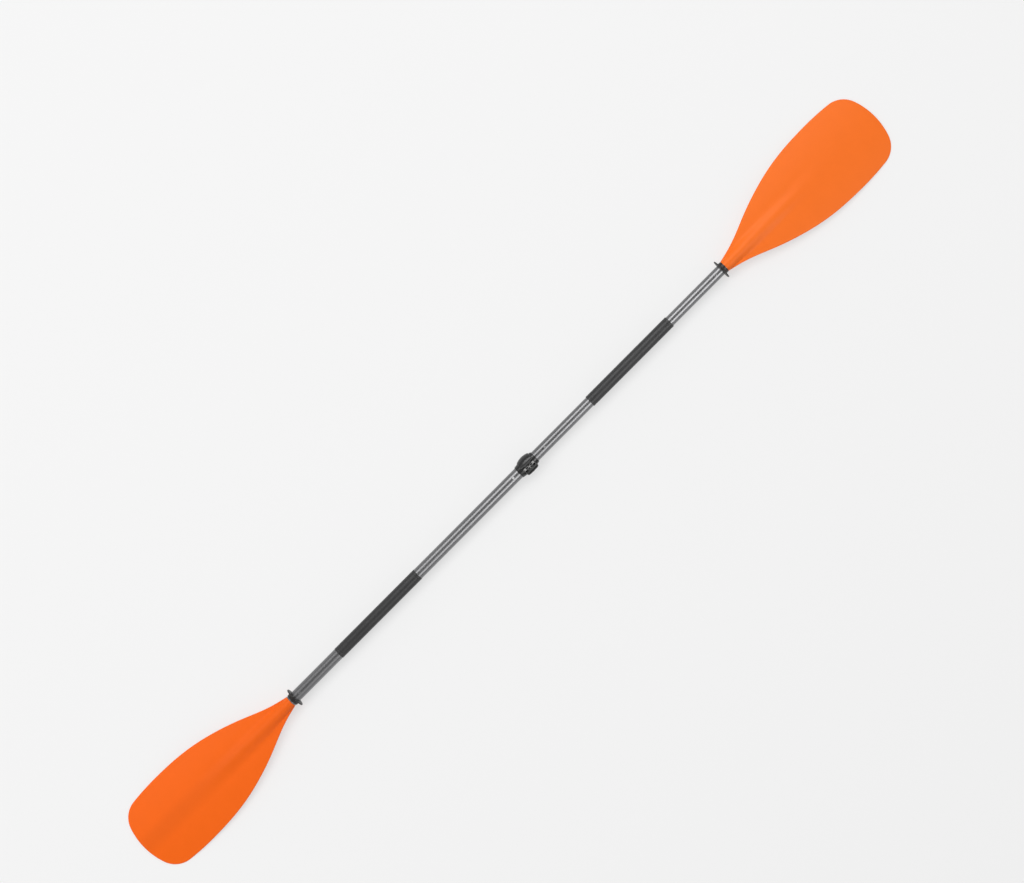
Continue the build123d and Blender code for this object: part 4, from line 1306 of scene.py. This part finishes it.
def lamp_over(name, turn, brightness, width, start, end, away):
    """A soft lamp parallel to the shaft from start to end, at a turn from straight up towards +Y."""
    lamp = bpy.data.lights.new(name, "AREA")
    lamp.shape, lamp.size, lamp.size_y = "RECTANGLE", end - start, width
    lamp.energy = brightness * pi * (end - start) * width
    made = bpy.data.objects.new(name, lamp)
    made.visible_camera = False
    towards = Vector((0, sin(turn), cos(turn)))
    across = towards.cross(Vector((1, 0, 0)))
    place = Vector(((start + end) / 2, 0, SHAFT_Z)) + away * towards
    made.matrix_world = facing(place, ALONG, across, towards)
    bpy.context.scene.collection.objects.link(made)
    return made


class PADDLE_OT_stage(Operator):
    """Make the floor, the lights, the world and the camera"""
    bl_idname = "paddle.stage"
    bl_label = "Stage"
    bl_options = {"REGISTER", "UNDO"}

    def execute(self, context):
        """Makes the stage: one lamp for the light and the shadow, and the strips, which are there for
        the reflections in the shaft and fade towards the outer blade."""
        scene, stage = context.scene, context.scene.paddle_stage
        self.floor(stage)
        self.world(scene, stage)
        key = lamp_over("key", KEY_TURN, stage.key, KEY_WIDTH, -KEY_HALF, KEY_HALF, KEY_AWAY)
        key.visible_glossy = False
        for side, turn in STRIP_TURNS:
            for part, portion, start, end in STRIP_PARTS:
                strip = lamp_over(f"{side} {part} strip", turn, portion * stage.strips, STRIP_WIDTH,
                                  start, end, STRIP_AWAY)
                strip.visible_diffuse = False
        self.camera(scene, stage)
        scene.view_settings.view_transform = "Standard"
        return {"FINISHED"}

    def floor(self, stage):
        """A wide plane whose shade is plain to the camera and keeps part of the shadow."""
        half = FLOOR_HALF
        mesh = bpy.data.meshes.new("floor")
        mesh.from_pydata([(-half, -half, 0), (half, -half, 0), (half, half, 0), (-half, half, 0)], [],
                         [(0, 1, 2, 3)])
        floor = bpy.data.objects.new("floor", mesh)
        bpy.context.scene.collection.objects.link(floor)
        shade = grey(stage.floor_shade)
        material, tree, shader = principled("floor", Base_Color=shade, Roughness=1.0,
                                            Specular_IOR_Level=0.0)
        rays = add(tree, "ShaderNodeLightPath").outputs
        seen = maths(tree, "MAXIMUM", rays["Is Camera Ray"],
                     maths(tree, "MAXIMUM", rays["Is Glossy Ray"], rays["Is Transmission Ray"]))
        glow = add(tree, "ShaderNodeEmission", {"Color": shade, "Strength": 1.0})
        lit = maths(tree, "MULTIPLY", seen, stage.floor_glow)
        both = add(tree, "ShaderNodeMixShader", {0: lit, 1: shader.outputs[0], 2: glow.outputs[0]})
        tree.links.new(both.outputs[0], tree.nodes["Material Output"].inputs["Surface"])
        mesh.materials.append(material)

    def world(self, scene, stage):
        """A light that is softer above than at the sides, and a pale background for the camera."""
        scene.world = bpy.data.worlds.new("studio")
        scene.world.use_nodes = True
        tree = scene.world.node_tree
        towards = add(tree, "ShaderNodeTexCoord").outputs["Generated"]
        rise = add(tree, "ShaderNodeSeparateXYZ", {0: towards}).outputs["Z"]
        light = between(tree, rise, stage.low_fill, stage.fill)
        rays = add(tree, "ShaderNodeLightPath").outputs
        seen = between(tree, rays["Is Camera Ray"], light, stage.floor_shade)
        background = tree.nodes["Background"]
        background.inputs["Color"].default_value = (1, 1, 1, 1)
        tree.links.new(seen, background.inputs["Strength"])

    def camera(self, scene, stage):
        """A camera almost straight above, turned so that the shaft runs from corner to corner."""
        camera = bpy.data.cameras.new("camera")
        camera.lens, camera.sensor_width = stage.lens, 36.0
        made = bpy.data.objects.new("camera", camera)
        scene.collection.objects.link(made)
        scene.camera = made
        target = Vector((*stage.aim, SHAFT_Z))
        back = Vector((sin(stage.tilt), 0, cos(stage.tilt)))
        along, side = Vector((cos(stage.tilt), 0, -sin(stage.tilt))), Vector((0, 1, 0))
        turn = pi / 4 + stage.roll
        right, up = cos(turn) * along - sin(turn) * side, sin(turn) * along + cos(turn) * side
        made.matrix_world = facing(target + stage.distance * back, right, up, back)


class PADDLE_PT_panel(Panel):
    """Lists the paddle's sizes, finishes and operators"""
    bl_idname = "PADDLE_PT_panel"
    bl_label = "Kayak Paddle"
    bl_space_type = "VIEW_3D"
    bl_region_type = "UI"
    bl_category = "Paddle"

    def draw(self, context):
        """One button for each operator, and the settings below them."""
        scene = context.scene
        for operator in PIECES + (PADDLE_OT_stage,):
            self.layout.operator(operator.bl_idname)
        for settings in (scene.paddle_sizes, scene.paddle_finish, scene.paddle_stage):
            box = self.layout.box()
            for name in settings.__annotations__:
                box.prop(settings, name)


PIECES = (PADDLE_OT_blades, PADDLE_OT_tubes, PADDLE_OT_grips, PADDLE_OT_rings, PADDLE_OT_plugs,
          PADDLE_OT_collar, PADDLE_OT_lever, PADDLE_OT_metalwork)
CLASSES = (PaddleSizes, PaddleFinish, PaddleStage) + PIECES + (PADDLE_OT_stage, PADDLE_PT_panel)


def register():
    """Makes the classes known and hangs the settings on the scene."""
    for each in CLASSES:
        bpy.utils.register_class(each)
    bpy.types.Scene.paddle_sizes = PointerProperty(type=PaddleSizes)
    bpy.types.Scene.paddle_finish = PointerProperty(type=PaddleFinish)
    bpy.types.Scene.paddle_stage = PointerProperty(type=PaddleStage)


def unregister():
    """Takes the settings and the classes away again."""
    del bpy.types.Scene.paddle_stage, bpy.types.Scene.paddle_finish, bpy.types.Scene.paddle_sizes
    for each in reversed(CLASSES):
        bpy.utils.unregister_class(each)


def main():
    """Makes every piece and the stage."""
    register()
    for operator in PIECES + (PADDLE_OT_stage,):
        group, name = operator.bl_idname.split(".")
        getattr(getattr(bpy.ops, group), name)()


if __name__ == "__main__":
    main()
